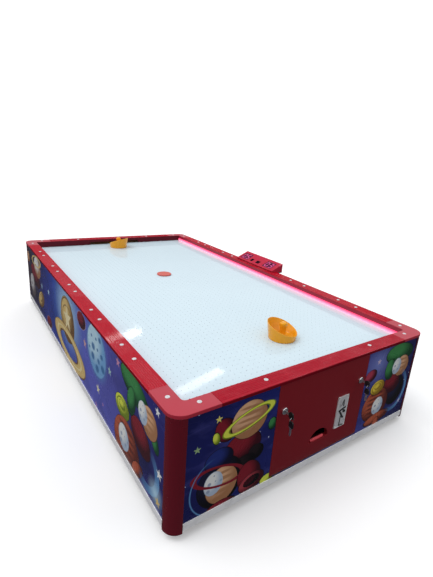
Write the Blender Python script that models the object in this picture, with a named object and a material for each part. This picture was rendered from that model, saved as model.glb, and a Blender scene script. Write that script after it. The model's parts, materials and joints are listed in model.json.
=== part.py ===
"""Air hockey table: a low cabinet with an air-blown playfield.

The rails and corner caps run round the top, a coin door drops down at the front
end, and a goal slot at each end drops the puck through a chute to its mouth.
Metres, +Z up. The long side runs along Y, and the coin door faces -Y.
The origin is on the floor, below the middle of the object's whole box.
All the sizes below are in the cabinet's own frame: its middle is at x = y = 0,
and z = 0 is the underside of the corner posts, FOOT_HEIGHT above the floor.
"""
import math

import bmesh
import bpy
from mathutils import Matrix, Vector

GAP = 0.0003                      # clearance between neighbours that touch
CUT_IN_Y = 1.0                    # tools that cut an end or the door reach from here
CUT_OUT_Y = 1.2                   # to here
CUT_SPREAD = 0.005                # how far other tools reach past what they cut

# Cabinet
HALF_W = 0.600                    # half width over the rails
HALF_L = 1.100                    # half length over the rails
TOP_Z = 0.410                     # rail top
PANEL_T = 0.015
PANEL_INSET = 0.004               # panel face behind the rail's edge
PANEL_LOW = 0.012
PANEL_HIGH = 0.4062
POST_R = 0.045
POST_INSET = 0.002
FOOT_HEIGHT = 0.025

# Rails and corner caps
RAIL_W = 0.062
RAIL_T = 0.0035
LIP_T = 0.003
LIP_Z = 0.398
CAP_ARM = 0.152
CAP_R = 0.050
CAP_INNER_R = 0.012
GROOVES = 6
GROOVE_FIRST = 0.011              # first groove from the rail's outer edge
GROOVE_PITCH = 0.0072
GROOVE_W = 0.0014
GROOVE_D = 0.0010
TRIM_TOP = 0.036
TRIM_T = 0.0022
TRIM_FLANGE = 0.021

# Field and walls round it
FIELD_TOP = 0.370
FIELD_T = 0.009
FIELD_HALF_W = 0.556
FIELD_HALF_L = 1.0465
WALL_IN_X = 0.5385                # inner face of the long walls
WALL_OUT_X = 0.556
WALL_IN_Y = 1.0385                # inner face of the end walls
WALL_OUT_Y = 1.0465
WALL_HALF_L = 1.0525              # the long walls end at the corner posts
LED_Z = (0.3767, 0.3893)
LED_DEPTH = 0.005
GOAL_HALF = 0.1845
GOAL_TOP = 0.390

# Air supply
PLENUM_Z = (0.300, 0.3607)
PLENUM_HALF_L = 1.0365
PLENUM_WALL = 0.015
PLENUM_FLOOR = 0.004
BLOWER_XY = (0.0, 0.25)
BLOWER_R = 0.120
BLOWER_Z = (0.215, 0.2997)
BLOWER_WALL = 0.003
BLOWER_OUTLET_R = 0.050
BLOWER_INLETS = 6
INLET_RING_R = 0.075
INLET_HOLE_R = 0.018
BASE_INTAKE_R = 0.080
SHAFT_R = 0.004
SHAFT_TOP = 0.266
IMPELLER_R = 0.100
IMPELLER_Z = (0.228, 0.288)
HUB_R = 0.028
BLADES = 10
BLADE_ROOT_TURN = 0.10            # radians either side of a blade's middle, at the hub
BLADE_TIP_TURN = (0.16, 0.20)     # where its swept tip starts and ends
MOTOR_R = 0.045
MOTOR_Z = (0.125, 0.2144)

# Puck chutes
CHUTE_WALL = 0.002
CHUTE_Y = (1.0372, 1.0803)        # back and front face of the throat
CHUTE_THROAT_HALF = 0.190
CHUTE_THROAT_Z = (0.335, 0.3606)
CHUTE_DUCT_HALF = 0.0535
CHUTE_DUCT_Z = 0.275
TRAY_Z = 0.098
TRAY_RISE = 0.006                 # the tray's floor rises this much towards its back
TRAY_BACK_Y = 0.985
TRAY_BACK_TOP = 0.145
DUCT_BACK_Z = 0.200               # the tray's roof meets the duct's back here
DUCT_FRONT_Z = 0.215
MOUTH_CLEARANCE = 0.006
MOUTH_HALF = 0.050
MOUTH_Z = (0.104, 0.150)

# Coin door
DOOR_HALF_W = 0.2265
DOOR_TOP = 0.396
OPENING_HALF_W = 0.228
OPENING_Z = (0.0365, 0.3975)
HINGE_Y = -(HALF_L - PANEL_INSET - PANEL_T / 2)
HINGE_Z = 0.0465
HINGE_ROD_R = 0.003
HINGE_BORE_R = 0.0034
HINGE_ROD_HALF = 0.238
STILE_IN_X = 0.2155
STILE_OUT_X = 0.262
FRAME_T = 0.0145
SILL_TOP = 0.045

# Locks and keys
LOCK_X = 0.195
LOCK_Z = 0.294
LOCK_FLANGE_R = 0.0125
LOCK_FLANGE_T = 0.0045
LOCK_BODY_R = 0.0095
LOCK_BODY_BACK = 0.017            # behind the door
LOCK_NUT_T = 0.005
PLUG_R = 0.0053
KEY_BOW = (0.020, 0.024, 0.0035)  # along Y, height, thickness
KEY_REACH = 0.0405                # key's end in front of the door's face
KEY_HOLE_R = 0.0025
KEY_HOLE = (0.0050, 0.0045)       # behind the key's end, below its middle
BLADE_HALF = (0.0011, 0.0038)     # half thickness and half width
BOW_STEPS = 16
BOW_POWER = 0.7
CAM_HALF_W = 0.006
CAM_T = 0.003
CAM_REACH = 0.031
RING_R = 0.0085
RING_WIRE = 0.0009
SPARE_BOW = (0.020, 0.026)        # along Y, height
SPARE_BLADE_H = 0.032

# Coin mechanism
PLATE_X = (0.0775, 0.1355)
PLATE_Z = (0.120, 0.254)
PLATE_T = 0.0027
MECH_X = (0.0820, 0.1320)
MECH_Z = (0.1250, 0.2490)
MECH_DEPTH = 0.0955
SLOT_XZ = (0.0935, 0.222)
SLOT_SIZE = (0.0038, 0.034)
SLOT_DEEP_Y = 1.055
BUTTON_XZ = (0.1185, 0.187)
BUTTON_R = 0.006
BUTTON_Y = (1.1030, 1.0890)       # its face and its back
BUTTON_BORE_Y = 1.082
FLAP_X = (0.1085, 0.1295)
FLAP_Z = (0.1285, 0.1515)
FLAP_T = 0.0020
FLAP_CLEARANCE = 0.0010
NOTCH = (0.012, 0.004)            # half width and height of the notch in the plate's foot
CUP_BACK_Y = 1.070
CASH_BOX = ((0.058, -1.060, 0.0245), (0.168, -0.940, 0.105))
CASH_BOX_WALL = 0.0015

# Scoreboard on the right rail
SCORE_Y = (-0.128, 0.236)
SCORE_FRONT = (0.563, 0.418)      # x, z of the sloped face's lower edge
SCORE_BACK = (0.649, 0.456)       # x, z of its upper edge
SCORE_FOOT_X = 0.567
SCORE_HEM_Z = 0.400               # bottom of the part that overhangs the rail
SCORE_WALL = 0.0025
SCORE_PLATE = (0.03, 0.94)        # how far the lens and the board run along the face
LENS_T = 0.0015
LENS_UP = (0.125, 0.86)
BOARD_T = 0.0016
BOARD_DROP = 0.003                # below the lens
BOARD_UP = (0.24, 0.86)
# Each window: where it starts and ends along the face, then up the face, as fractions.
SCORE_WINDOWS = {
    "home": (0.05, 0.265, 0.15, 0.78),
    "minute": (0.325, 0.390, 0.18, 0.46),
    "second": (0.478, 0.573, 0.18, 0.46),
    "away": (0.680, 0.905, 0.15, 0.78),
}

# Power inlet on the back end
INLET_XZ = (-0.450, 0.110)
INLET_FLANGE = (0.050, 0.066)
INLET_BODY = (0.046, 0.060)
INLET_T = 0.0025
INLET_BACK_Y = 1.064
SOCKET_BACK_Y = 1.078
SOCKET_HALF_W = 0.0135
SOCKET_Z = (-0.025, -0.010, -0.005)   # floor, shoulder and roof from the inlet's middle
ROCKER_Z = 0.017                  # above the inlet's middle
ROCKER_TILT = math.radians(8)
ROCKER_HALF_W = 0.0115
ROCKER_HALF_H = 0.0085
ROCKER_LIP = 0.0068               # its raised ends stand this far out from its axis
ROCKER_WELL = (0.0125, 0.0105)

# Loose pieces
MALLET_R = 0.0565
MALLET_FLARE = 0.15               # radius gained per metre of height
MALLET_RIM_MID = 0.049
MALLET_RIM_RISE = 0.023
MALLET_LEAN = math.radians(123)   # where the near mallet's rim is highest
MALLET_WALL = 0.0035
MALLET_FLOOR = 0.008
KNOB_R = 0.0165
KNOB_TOP = 0.072
MALLET_NEAR = (0.0505, -0.7966)
MALLET_FAR = (-0.014, 0.925)
PUCK_R = 0.041
PUCK_T = 0.0065
PUCK_XY = (-0.007, 0.179)

# Levelling feet, screwed fully in
FOOT_XY = (0.500, 1.000)
FOOT_PAD_R = 0.026
FOOT_PAD_T = 0.009
FOOT_NECK_R = 0.010
FOOT_STEM_R = 0.005
FOOT_STEM_TOP = 0.050
FOOT_HOLE_R = 0.0058

# The whole box's middle is at the origin: the scoreboard widens it at +X,
# and the hanging keys lengthen it at -Y.
SCORE_REACH = SCORE_BACK[0] - HALF_W
KEYS_END = PANEL_INSET - KEY_REACH + KEY_HOLE[0] - SPARE_BOW[0] / 2
CABINET_PLACE = (-SCORE_REACH / 2, -KEYS_END / 2, FOOT_HEIGHT)

PANEL_OUT_X = HALF_W - PANEL_INSET
PANEL_OUT_Y = HALF_L - PANEL_INSET
PANEL_IN_X = PANEL_OUT_X - PANEL_T
PANEL_IN_Y = PANEL_OUT_Y - PANEL_T
POST_OUT_X = HALF_W - POST_INSET
POST_OUT_Y = HALF_L - POST_INSET
SIDES = (("left", -1), ("right", 1))
ENDS = (("front", -1), ("back", 1))

COLOURS = {
    "rail_red": ((0.46, 0.025, 0.050), 0.35, 0.0),
    "cap_red": ((0.60, 0.075, 0.105), 0.30, 0.0),
    "post_maroon": ((0.10, 0.004, 0.010), 0.28, 0.0),
    "door_maroon": ((0.075, 0.007, 0.011), 0.45, 0.0),
    "navy_laminate": ((0.035, 0.040, 0.200), 0.35, 0.0),
    "wall_crimson": ((0.35, 0.010, 0.040), 0.40, 0.0),
    "field_white": ((0.70, 0.80, 0.86), 0.12, 0.0),
    "led_pink": ((1.00, 0.18, 0.42), 0.40, 0.0),
    "board_brown": ((0.30, 0.18, 0.09), 0.70, 0.0),
    "trim_aluminium": ((0.55, 0.56, 0.58), 0.30, 1.0),
    "steel": ((0.58, 0.58, 0.60), 0.32, 1.0),
    "chrome": ((0.80, 0.80, 0.82), 0.12, 1.0),
    "black_plastic": ((0.015, 0.015, 0.017), 0.45, 0.0),
    "chute_red": ((0.60, 0.04, 0.06), 0.40, 0.0),
    "mallet_yellow": ((0.83, 0.38, 0.03), 0.35, 0.0),
    "puck_red": ((0.72, 0.16, 0.11), 0.40, 0.0),
    "lens_magenta": ((0.35, 0.01, 0.18), 0.15, 0.0),
    "circuit_green": ((0.02, 0.18, 0.08), 0.50, 0.0),
}


# ---------------------------------------------------------------- helpers

def clear_scene():
    for obj in list(bpy.data.objects):
        bpy.data.objects.remove(obj, do_unlink=True)


def get_material(name):
    material = bpy.data.materials.get(name)
    if material:
        return material
    colour, roughness, metallic = COLOURS[name]
    material = bpy.data.materials.new(name)
    material.use_nodes = True
    shader = material.node_tree.nodes["Principled BSDF"]
    shader.inputs["Base Color"].default_value = (*colour, 1.0)
    shader.inputs["Roughness"].default_value = roughness
    shader.inputs["Metallic"].default_value = metallic
    material.diffuse_color = (*colour, 1.0)
    return material


def add_empty(name, place, parent=None):
    empty = bpy.data.objects.new(name, None)
    bpy.context.scene.collection.objects.link(empty)
    empty.parent = parent
    empty.location = place
    return empty


def add_object(name, bm, material, origin=(0, 0, 0), parent=None):
    """Turn a bmesh in the cabinet's frame into an object whose origin is at origin."""
    parent = parent or bpy.data.objects["cabinet_frame"]
    bmesh.ops.translate(bm, verts=bm.verts, vec=-Vector(origin))
    bmesh.ops.recalc_face_normals(bm, faces=bm.faces)
    mesh = bpy.data.meshes.new(name)
    bm.to_mesh(mesh)
    bm.free()
    mesh.materials.append(get_material(material))
    mesh.shade_smooth()
    mesh.set_sharp_from_angle(angle=math.radians(30))
    obj = bpy.data.objects.new(name, mesh)
    bpy.context.scene.collection.objects.link(obj)
    obj.parent = parent
    offset = parent["frame_origin"] if "frame_origin" in parent else (0, 0, 0)
    obj.location = Vector(origin) - Vector(offset)
    return obj


def add_pivot(name, origin):
    """An empty on a joint's axis, which the pieces on that body are parented to."""
    pivot = add_empty(name, origin, bpy.data.objects["cabinet_frame"])
    pivot["frame_origin"] = origin
    return pivot


def combine(target, bm, operation, label):
    """Cut a bmesh from the target, or weld it on, with a Boolean and a hidden tool."""
    tool = add_object(f"tool_{target.name}_{label}", bm, "steel")
    tool.hide_render = True
    tool.display_type = "WIRE"
    modifier = target.modifiers.new(label, "BOOLEAN")
    modifier.operation = operation
    modifier.solver = "EXACT"
    modifier.object = tool


def cut(target, bm, label):
    combine(target, bm, "DIFFERENCE", label)


def weld(target, bm, label):
    combine(target, bm, "UNION", label)


def box(low, high):
    bm = bmesh.new()
    bmesh.ops.create_cube(bm, size=1.0)
    size = Vector(high) - Vector(low)
    middle = (Vector(high) + Vector(low)) / 2
    bmesh.ops.scale(bm, verts=bm.verts, vec=size)
    bmesh.ops.translate(bm, verts=bm.verts, vec=middle)
    return bm


def prism(outline, axis, low, high):
    """Extrude a flat outline from low to high along an axis.

    The outline's points are (y, z) for axis X, (x, z) for Y and (x, y) for Z.
    """
    def point(a, b, along):
        return {"X": (along, a, b), "Y": (a, along, b), "Z": (a, b, along)}[axis]

    bm = bmesh.new()
    lower = [bm.verts.new(point(a, b, low)) for a, b in outline]
    upper = [bm.verts.new(point(a, b, high)) for a, b in outline]
    bm.faces.new(lower)
    bm.faces.new(upper[::-1])
    count = len(outline)
    for i in range(count):
        j = (i + 1) % count
        bm.faces.new((lower[i], upper[i], upper[j], lower[j]))
    return bm


def turned(profile, segments, axis, place, closed=False):
    """Turn (radius, height) points about an axis through place.

    An open profile starts and ends on the axis; a closed one makes a ring.
    """
    bm = bmesh.new()
    rings = []
    for radius, height in profile:
        if radius == 0:
            rings.append([bm.verts.new((0, 0, height))])
            continue
        angles = [2 * math.pi * k / segments for k in range(segments)]
        rings.append([bm.verts.new((radius * math.cos(a), radius * math.sin(a), height))
                      for a in angles])
    pairs = list(zip(rings, rings[1:]))
    if closed:
        pairs.append((rings[-1], rings[0]))
    for first, second in pairs:
        for k in range(segments):
            n = (k + 1) % segments
            corners = [first[k % len(first)], first[n % len(first)],
                       second[n % len(second)], second[k % len(second)]]
            bm.faces.new(list(dict.fromkeys(corners)))
    turn = {"X": Matrix.Rotation(math.pi / 2, 4, "Y"),
            "Y": Matrix.Rotation(-math.pi / 2, 4, "X"),
            "Z": Matrix.Identity(4)}[axis]
    bmesh.ops.transform(bm, matrix=Matrix.Translation(place) @ turn, verts=bm.verts)
    return bm


def rod(radius, axis, place, low, high, segments=16):
    profile = [(0, low), (radius, low), (radius, high), (0, high)]
    return turned(profile, segments, axis, place)


def arc(cx, cy, radius, start, end, steps):
    """Points on an arc, with its angles in degrees."""
    points = []
    for k in range(steps + 1):
        angle = math.radians(start + (end - start) * k / steps)
        points.append((cx + radius * math.cos(angle), cy + radius * math.sin(angle)))
    return points


def mirrored(outline, sign_x, sign_y):
    return [(sign_x * a, sign_y * b) for a, b in outline]


# ---------------------------------------------------------------- cabinet

def make_base():
    """Bottom board, notched round the posts, with holes for the feet and for air."""
    notch_x = POST_OUT_X - POST_R - GAP
    notch_y = POST_OUT_Y - POST_R - GAP
    out_x = PANEL_IN_X - GAP
    out_y = PANEL_IN_Y - GAP
    quarter = [(out_x, notch_y), (notch_x, notch_y), (notch_x, out_y)]
    outline = quarter
    outline = outline + mirrored(quarter, -1, 1)[::-1]
    outline = outline + mirrored(quarter, -1, -1)
    outline = outline + mirrored(quarter, 1, -1)[::-1]
    base = add_object("base_panel", prism(outline, "Z", PANEL_LOW, 2 * PANEL_LOW), "board_brown")
    intake = rod(BASE_INTAKE_R, "Z", (*BLOWER_XY, 0), 0, FOOT_STEM_TOP, 32)
    cut(base, intake, "air_intake")
    for side, sx in SIDES:
        for end, sy in ENDS:
            place = (sx * FOOT_XY[0], sy * FOOT_XY[1], 0)
            hole = rod(FOOT_HOLE_R, "Z", place, 0, FOOT_STEM_TOP)
            cut(base, hole, f"foot_{end}_{side}")


def make_side_panels():
    reach = POST_OUT_Y - POST_R - GAP
    for side, sx in SIDES:
        low = (min(sx * PANEL_IN_X, sx * PANEL_OUT_X), -reach, PANEL_LOW)
        high = (max(sx * PANEL_IN_X, sx * PANEL_OUT_X), reach, PANEL_HIGH)
        add_object(f"side_panel_{side}", box(low, high), "navy_laminate")


def mouth_outline():
    """Half-moon hole that the puck comes back through, as (x, z)."""
    low, high = MOUTH_Z
    rise = high - low
    return [(x, low + z * rise / MOUTH_HALF) for x, z in arc(0, 0, MOUTH_HALF, 0, 180, 16)]


def make_end_panels():
    reach = POST_OUT_X - POST_R - GAP
    front = add_object("end_panel_front",
                       box((-reach, -PANEL_OUT_Y, PANEL_LOW), (reach, -PANEL_IN_Y, PANEL_HIGH)),
                       "navy_laminate")
    opening = box((-OPENING_HALF_W, -CUT_OUT_Y, OPENING_Z[0]),
                  (OPENING_HALF_W, -CUT_IN_Y, OPENING_Z[1]))
    cut(front, opening, "door_opening")
    socket = HINGE_ROD_HALF + 0.002
    sockets = rod(HINGE_BORE_R, "X", (0, HINGE_Y, HINGE_Z), -socket, socket)
    cut(front, sockets, "hinge_sockets")

    back = add_object("end_panel_back",
                      box((-reach, PANEL_IN_Y, PANEL_LOW), (reach, PANEL_OUT_Y, PANEL_HIGH)),
                      "navy_laminate")
    cut(back, prism(mouth_outline(), "Y", CUT_IN_Y, CUT_OUT_Y), "puck_mouth")
    half_w = INLET_BODY[0] / 2 + GAP
    half_h = INLET_BODY[1] / 2 + GAP
    x, z = INLET_XZ
    hole = box((x - half_w, CUT_IN_Y, z - half_h), (x + half_w, CUT_OUT_Y, z + half_h))
    cut(back, hole, "inlet_hole")


def make_posts():
    """Quarter-round corner posts between the panels' ends."""
    cx = POST_OUT_X - POST_R
    cy = POST_OUT_Y - POST_R
    quarter = [(cx, cy)] + arc(cx, cy, POST_R, 0, 90, 10)
    for side, sx in SIDES:
        for end, sy in ENDS:
            outline = mirrored(quarter, sx, sy)
            post = prism(outline, "Z", 0, LIP_Z - GAP)
            add_object(f"corner_post_{end}_{side}", post, "post_maroon")


def trim_outline(face):
    """Angle section along the bottom edge; face is the panel's outer face."""
    inner = face + GAP
    outer = inner + TRIM_T
    shelf = PANEL_LOW - GAP
    foot = shelf - 0.002
    return [(outer, TRIM_TOP), (inner, TRIM_TOP), (inner, shelf),
            (face - TRIM_FLANGE, shelf), (face - TRIM_FLANGE, foot), (outer, foot)]


def make_trims():
    reach_y = POST_OUT_Y - POST_R - GAP
    reach_x = POST_OUT_X - POST_R - GAP
    for side, sx in SIDES:
        outline = [(sx * a, z) for a, z in trim_outline(PANEL_OUT_X)]
        add_object(f"bottom_trim_{side}", prism(outline, "Y", -reach_y, reach_y), "trim_aluminium")
    for end, sy in ENDS:
        outline = [(sy * a, z) for a, z in trim_outline(PANEL_OUT_Y)]
        add_object(f"bottom_trim_{end}", prism(outline, "X", -reach_x, reach_x), "trim_aluminium")


# ---------------------------------------------------------------- rails and caps

def rail_outline(edge):
    """Grooved rail section as (distance from the middle, z), for an outer edge at edge."""
    points = [(edge, LIP_Z), (edge, TOP_Z)]
    for k in range(GROOVES):
        start = edge - GROOVE_FIRST - k * GROOVE_PITCH
        stop = start - GROOVE_W
        floor_z = TOP_Z - GROOVE_D
        points += [(start, TOP_Z), (start, floor_z), (stop, floor_z), (stop, TOP_Z)]
    inner = edge - RAIL_W
    under = TOP_Z - RAIL_T
    points += [(inner, TOP_Z), (inner, under), (edge - LIP_T, under), (edge - LIP_T, LIP_Z)]
    return points


def make_rails():
    reach_y = HALF_L - CAP_ARM - GAP
    reach_x = HALF_W - CAP_ARM - GAP
    for side, sx in SIDES:
        outline = [(sx * a, z) for a, z in rail_outline(HALF_W)]
        add_object(f"rail_{side}", prism(outline, "Y", -reach_y, reach_y), "rail_red")
    for end, sy in ENDS:
        outline = [(sy * a, z) for a, z in rail_outline(HALF_L)]
        add_object(f"rail_{end}", prism(outline, "X", -reach_x, reach_x), "rail_red")


def cap_outline(inset, spread):
    """L-shaped plan of a cap, its outer edge inset and its other edges spread outwards."""
    out_x = HALF_W - inset
    out_y = HALF_L - inset
    end_x = HALF_W - CAP_ARM - spread
    end_y = HALF_L - CAP_ARM - spread
    in_x = HALF_W - RAIL_W - spread
    in_y = HALF_L - RAIL_W - spread
    outer = arc(HALF_W - CAP_R, HALF_L - CAP_R, CAP_R - inset, 0, 90, 8)
    inner = arc(in_x - CAP_INNER_R, in_y - CAP_INNER_R, CAP_INNER_R, 90, 0, 4)
    return [(out_x, end_y)] + outer + [(end_x, out_y), (end_x, in_y)] + inner + [(in_x, end_y)]


def make_caps():
    for side, sx in SIDES:
        for end, sy in ENDS:
            outline = mirrored(cap_outline(0, 0), sx, sy)
            cap = prism(outline, "Z", LIP_Z, TOP_Z)
            cap = add_object(f"corner_cap_{end}_{side}", cap, "cap_red")
            hollow = mirrored(cap_outline(LIP_T, CUT_SPREAD), sx, sy)
            cut(cap, prism(hollow, "Z", LIP_Z - CUT_SPREAD, TOP_Z - RAIL_T), "underside")


# ---------------------------------------------------------------- field

def make_walls():
    """Walls round the field: the long ones hold a light strip, the end ones a goal slot."""
    foot = FIELD_TOP + GAP
    groove_x = WALL_IN_X + LED_DEPTH
    section = [(WALL_IN_X, foot), (WALL_OUT_X, foot), (WALL_OUT_X, PANEL_HIGH),
               (WALL_IN_X, PANEL_HIGH), (WALL_IN_X, LED_Z[1]), (groove_x, LED_Z[1]),
               (groove_x, LED_Z[0]), (WALL_IN_X, LED_Z[0])]
    for side, sx in SIDES:
        outline = [(sx * a, z) for a, z in section]
        wall = prism(outline, "Y", -WALL_HALF_L, WALL_HALF_L)
        add_object(f"inner_wall_{side}", wall, "wall_crimson")
        strip = [sx * (WALL_IN_X + GAP), sx * (groove_x - GAP)]
        low = (min(strip), -WALL_IN_Y + 0.001, LED_Z[0] + GAP)
        high = (max(strip), WALL_IN_Y - 0.001, LED_Z[1] - GAP)
        add_object(f"led_strip_{side}", box(low, high), "led_pink")
    end_x = WALL_IN_X - GAP
    face = [(-end_x, foot), (-GOAL_HALF, foot), (-GOAL_HALF, GOAL_TOP), (GOAL_HALF, GOAL_TOP),
            (GOAL_HALF, foot), (end_x, foot), (end_x, PANEL_HIGH), (-end_x, PANEL_HIGH)]
    for end, sy in ENDS:
        low, high = sorted((sy * WALL_IN_Y, sy * WALL_OUT_Y))
        add_object(f"inner_wall_{end}", prism(face, "Y", low, high), "wall_crimson")


def make_field():
    """Field board, cut back at each goal so that the puck drops past its edge."""
    notch = CHUTE_THROAT_HALF
    edge = WALL_IN_Y - GAP
    half = [(FIELD_HALF_W, FIELD_HALF_L), (notch, FIELD_HALF_L), (notch, edge),
            (-notch, edge), (-notch, FIELD_HALF_L), (-FIELD_HALF_W, FIELD_HALF_L)]
    outline = half + mirrored(half, -1, -1)
    add_object("playfield", prism(outline, "Z", FIELD_TOP - FIELD_T, FIELD_TOP), "field_white")


# ---------------------------------------------------------------- air supply

def make_plenum():
    """Open-topped air box that the field closes."""
    half_x = PANEL_IN_X - GAP
    low = (-half_x, -PLENUM_HALF_L, PLENUM_Z[0])
    high = (half_x, PLENUM_HALF_L, PLENUM_Z[1])
    plenum = add_object("air_plenum", box(low, high), "board_brown")
    in_x = half_x - PLENUM_WALL
    in_y = PLENUM_HALF_L - PLENUM_WALL
    floor_z = PLENUM_Z[0] + PLENUM_FLOOR
    cut(plenum, box((-in_x, -in_y, floor_z), (in_x, in_y, PLENUM_Z[1] + CUT_SPREAD)), "hollow")
    hole = rod(BLOWER_OUTLET_R, "Z", (*BLOWER_XY, 0), PLENUM_Z[0] - CUT_SPREAD,
               floor_z + CUT_SPREAD, 32)
    cut(plenum, hole, "air_hole")


def make_blower():
    place = (*BLOWER_XY, 0)
    low, high = BLOWER_Z
    inner_r = BLOWER_R - BLOWER_WALL
    shaft_hole = SHAFT_R + 0.002
    profile = [(shaft_hole, low), (BLOWER_R, low), (BLOWER_R, high), (BLOWER_OUTLET_R, high),
               (BLOWER_OUTLET_R, high - BLOWER_WALL), (inner_r, high - BLOWER_WALL),
               (inner_r, low + BLOWER_WALL), (shaft_hole, low + BLOWER_WALL)]
    housing = add_object("blower_housing", turned(profile, 32, "Z", place, closed=True),
                         "black_plastic")
    for k in range(BLOWER_INLETS):
        angle = 2 * math.pi * k / BLOWER_INLETS
        spot = (BLOWER_XY[0] + INLET_RING_R * math.cos(angle),
                BLOWER_XY[1] + INLET_RING_R * math.sin(angle), 0)
        hole = rod(INLET_HOLE_R, "Z", spot, low - CUT_SPREAD, low + 2 * CUT_SPREAD, 12)
        cut(housing, hole, f"inlet_{k}")

    outline = []
    for k in range(BLADES):
        angle = 2 * math.pi * k / BLADES
        corners = ((HUB_R, -BLADE_ROOT_TURN), (IMPELLER_R, BLADE_TIP_TURN[0]),
                   (IMPELLER_R, BLADE_TIP_TURN[1]), (HUB_R, BLADE_ROOT_TURN))
        for radius, turn in corners:
            spot = angle + turn
            outline.append((BLOWER_XY[0] + radius * math.cos(spot),
                            BLOWER_XY[1] + radius * math.sin(spot)))
    impeller = add_object("blower_impeller", prism(outline, "Z", *IMPELLER_Z), "black_plastic",
                          origin=(*BLOWER_XY, IMPELLER_Z[0]))
    bore = rod(SHAFT_R + 0.0004, "Z", place, IMPELLER_Z[0] - CUT_SPREAD, SHAFT_TOP + 0.001)
    cut(impeller, bore, "shaft_bore")

    z0, z1 = MOTOR_Z
    profile = [(0, z0), (0.016, z0), (0.018, z0 + 0.006), (MOTOR_R - 0.004, z0 + 0.006),
               (MOTOR_R, z0 + 0.010), (MOTOR_R, z1), (SHAFT_R, z1), (SHAFT_R, SHAFT_TOP),
               (0, SHAFT_TOP)]
    add_object("blower_motor", turned(profile, 24, "Z", place), "steel")


# ---------------------------------------------------------------- puck chutes

def funnel_outline(wall, top):
    """Throat that narrows to the duct, as (x, z), its walls moved in by wall."""
    wide = CHUTE_THROAT_HALF - wall
    narrow = CHUTE_DUCT_HALF - wall
    low, _ = CHUTE_THROAT_Z
    foot = TRAY_Z + wall + 2 * TRAY_RISE
    half = [(wide, top), (wide, low), (narrow, CHUTE_DUCT_Z), (narrow, foot)]
    return half + mirrored(half, -1, 1)[::-1]


def tray_outline(sy, wall):
    """Side view of the tray at the duct's foot, as (y, z): its outside, or its hollow.

    The hollow, whose walls are moved in by wall, runs out through the mouth.
    """
    back = TRAY_BACK_Y + wall
    throat = CHUTE_Y[0] + wall
    face = CHUTE_Y[1]
    points = [(back, TRAY_Z + wall + TRAY_RISE), (back, TRAY_BACK_TOP - wall),
              (throat, DUCT_BACK_Z - wall), (throat, DUCT_FRONT_Z), (face - wall, DUCT_FRONT_Z)]
    if wall:
        lintel = MOUTH_Z[1] + MOUTH_CLEARANCE
        points += [(face - wall, lintel), (face + CUT_SPREAD, lintel),
                   (face + CUT_SPREAD, TRAY_Z + wall)]
    else:
        points.append((face, TRAY_Z))
    return [(sy * y, z) for y, z in points]


def make_chutes():
    """A moulded chute behind each end: goal throat, duct, and tray at the mouth."""
    for end, sy in ENDS:
        low, high = sorted((sy * CHUTE_Y[0], sy * CHUTE_Y[1]))
        chute = add_object(f"puck_chute_{end}",
                           prism(funnel_outline(0, CHUTE_THROAT_Z[1]), "Y", low, high), "chute_red")
        half = CHUTE_DUCT_HALF
        weld(chute, prism(tray_outline(sy, 0), "X", -half, half), "tray")
        low, high = low + CHUTE_WALL, high - CHUTE_WALL
        hollow = funnel_outline(CHUTE_WALL, CHUTE_THROAT_Z[1] + CUT_SPREAD)
        cut(chute, prism(hollow, "Y", low, high), "throat")
        half = CHUTE_DUCT_HALF - CHUTE_WALL
        cut(chute, prism(tray_outline(sy, CHUTE_WALL), "X", -half, half), "mouth")


# ---------------------------------------------------------------- coin door

def through_door(span_x, span_z, clearance, back=CUT_IN_Y):
    """Tool that cuts a rectangle from in front of the door back to a depth."""
    return box((span_x[0] - clearance, -CUT_OUT_Y, span_z[0] - clearance),
               (span_x[1] + clearance, -back, span_z[1] + clearance))


def make_door(pivot):
    """Drop-down door, its bottom edge rounded about the hinge rod."""
    half_t = PANEL_T / 2
    bottom = arc(HINGE_Y, HINGE_Z, half_t, 180, 360, 8)
    outline = bottom + [(HINGE_Y + half_t, DOOR_TOP), (HINGE_Y - half_t, DOOR_TOP)]
    door = add_object("front_door", prism(outline, "X", -DOOR_HALF_W, DOOR_HALF_W),
                      "door_maroon", origin=(0, HINGE_Y, HINGE_Z), parent=pivot)
    bore = rod(HINGE_BORE_R, "X", (0, HINGE_Y, HINGE_Z), -HINGE_ROD_HALF, HINGE_ROD_HALF)
    cut(door, bore, "hinge_bore")
    cut(door, prism(mouth_outline(), "Y", -CUT_OUT_Y, -CUT_IN_Y), "puck_mouth")
    window = through_door(MECH_X, MECH_Z, GAP)
    cut(door, window, "coin_window")
    for side, sx in SIDES:
        place = (sx * LOCK_X, 0, LOCK_Z)
        hole = rod(LOCK_BODY_R + 0.0005, "Y", place, -CUT_OUT_Y, -CUT_IN_Y, 20)
        cut(door, hole, f"lock_hole_{side}")


def make_door_frame():
    """U-shaped frame behind the opening: the cams catch its stiles, coins stay behind its sill."""
    low = 2 * PANEL_LOW + GAP
    outline = [(-STILE_OUT_X, low), (STILE_OUT_X, low), (STILE_OUT_X, DOOR_TOP),
               (STILE_IN_X, DOOR_TOP), (STILE_IN_X, SILL_TOP), (-STILE_IN_X, SILL_TOP),
               (-STILE_IN_X, DOOR_TOP), (-STILE_OUT_X, DOOR_TOP)]
    back = -PANEL_IN_Y + 0.0005
    add_object("door_frame", prism(outline, "Y", back, back + FRAME_T), "board_brown")


def make_hinge_rod():
    bm = rod(HINGE_ROD_R, "X", (0, HINGE_Y, HINGE_Z), -HINGE_ROD_HALF, HINGE_ROD_HALF)
    add_object("door_hinge_rod", bm, "steel")


def bow_outline(y, z, length, height):
    """Key head, an oval with squared-off corners, as (y, z)."""
    points = []
    for k in range(BOW_STEPS):
        angle = 2 * math.pi * k / BOW_STEPS
        across = math.copysign(abs(math.cos(angle)) ** BOW_POWER, math.cos(angle))
        along = math.copysign(abs(math.sin(angle)) ** BOW_POWER, math.sin(angle))
        points.append((y + length / 2 * across, z + height / 2 * along))
    return points


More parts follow.
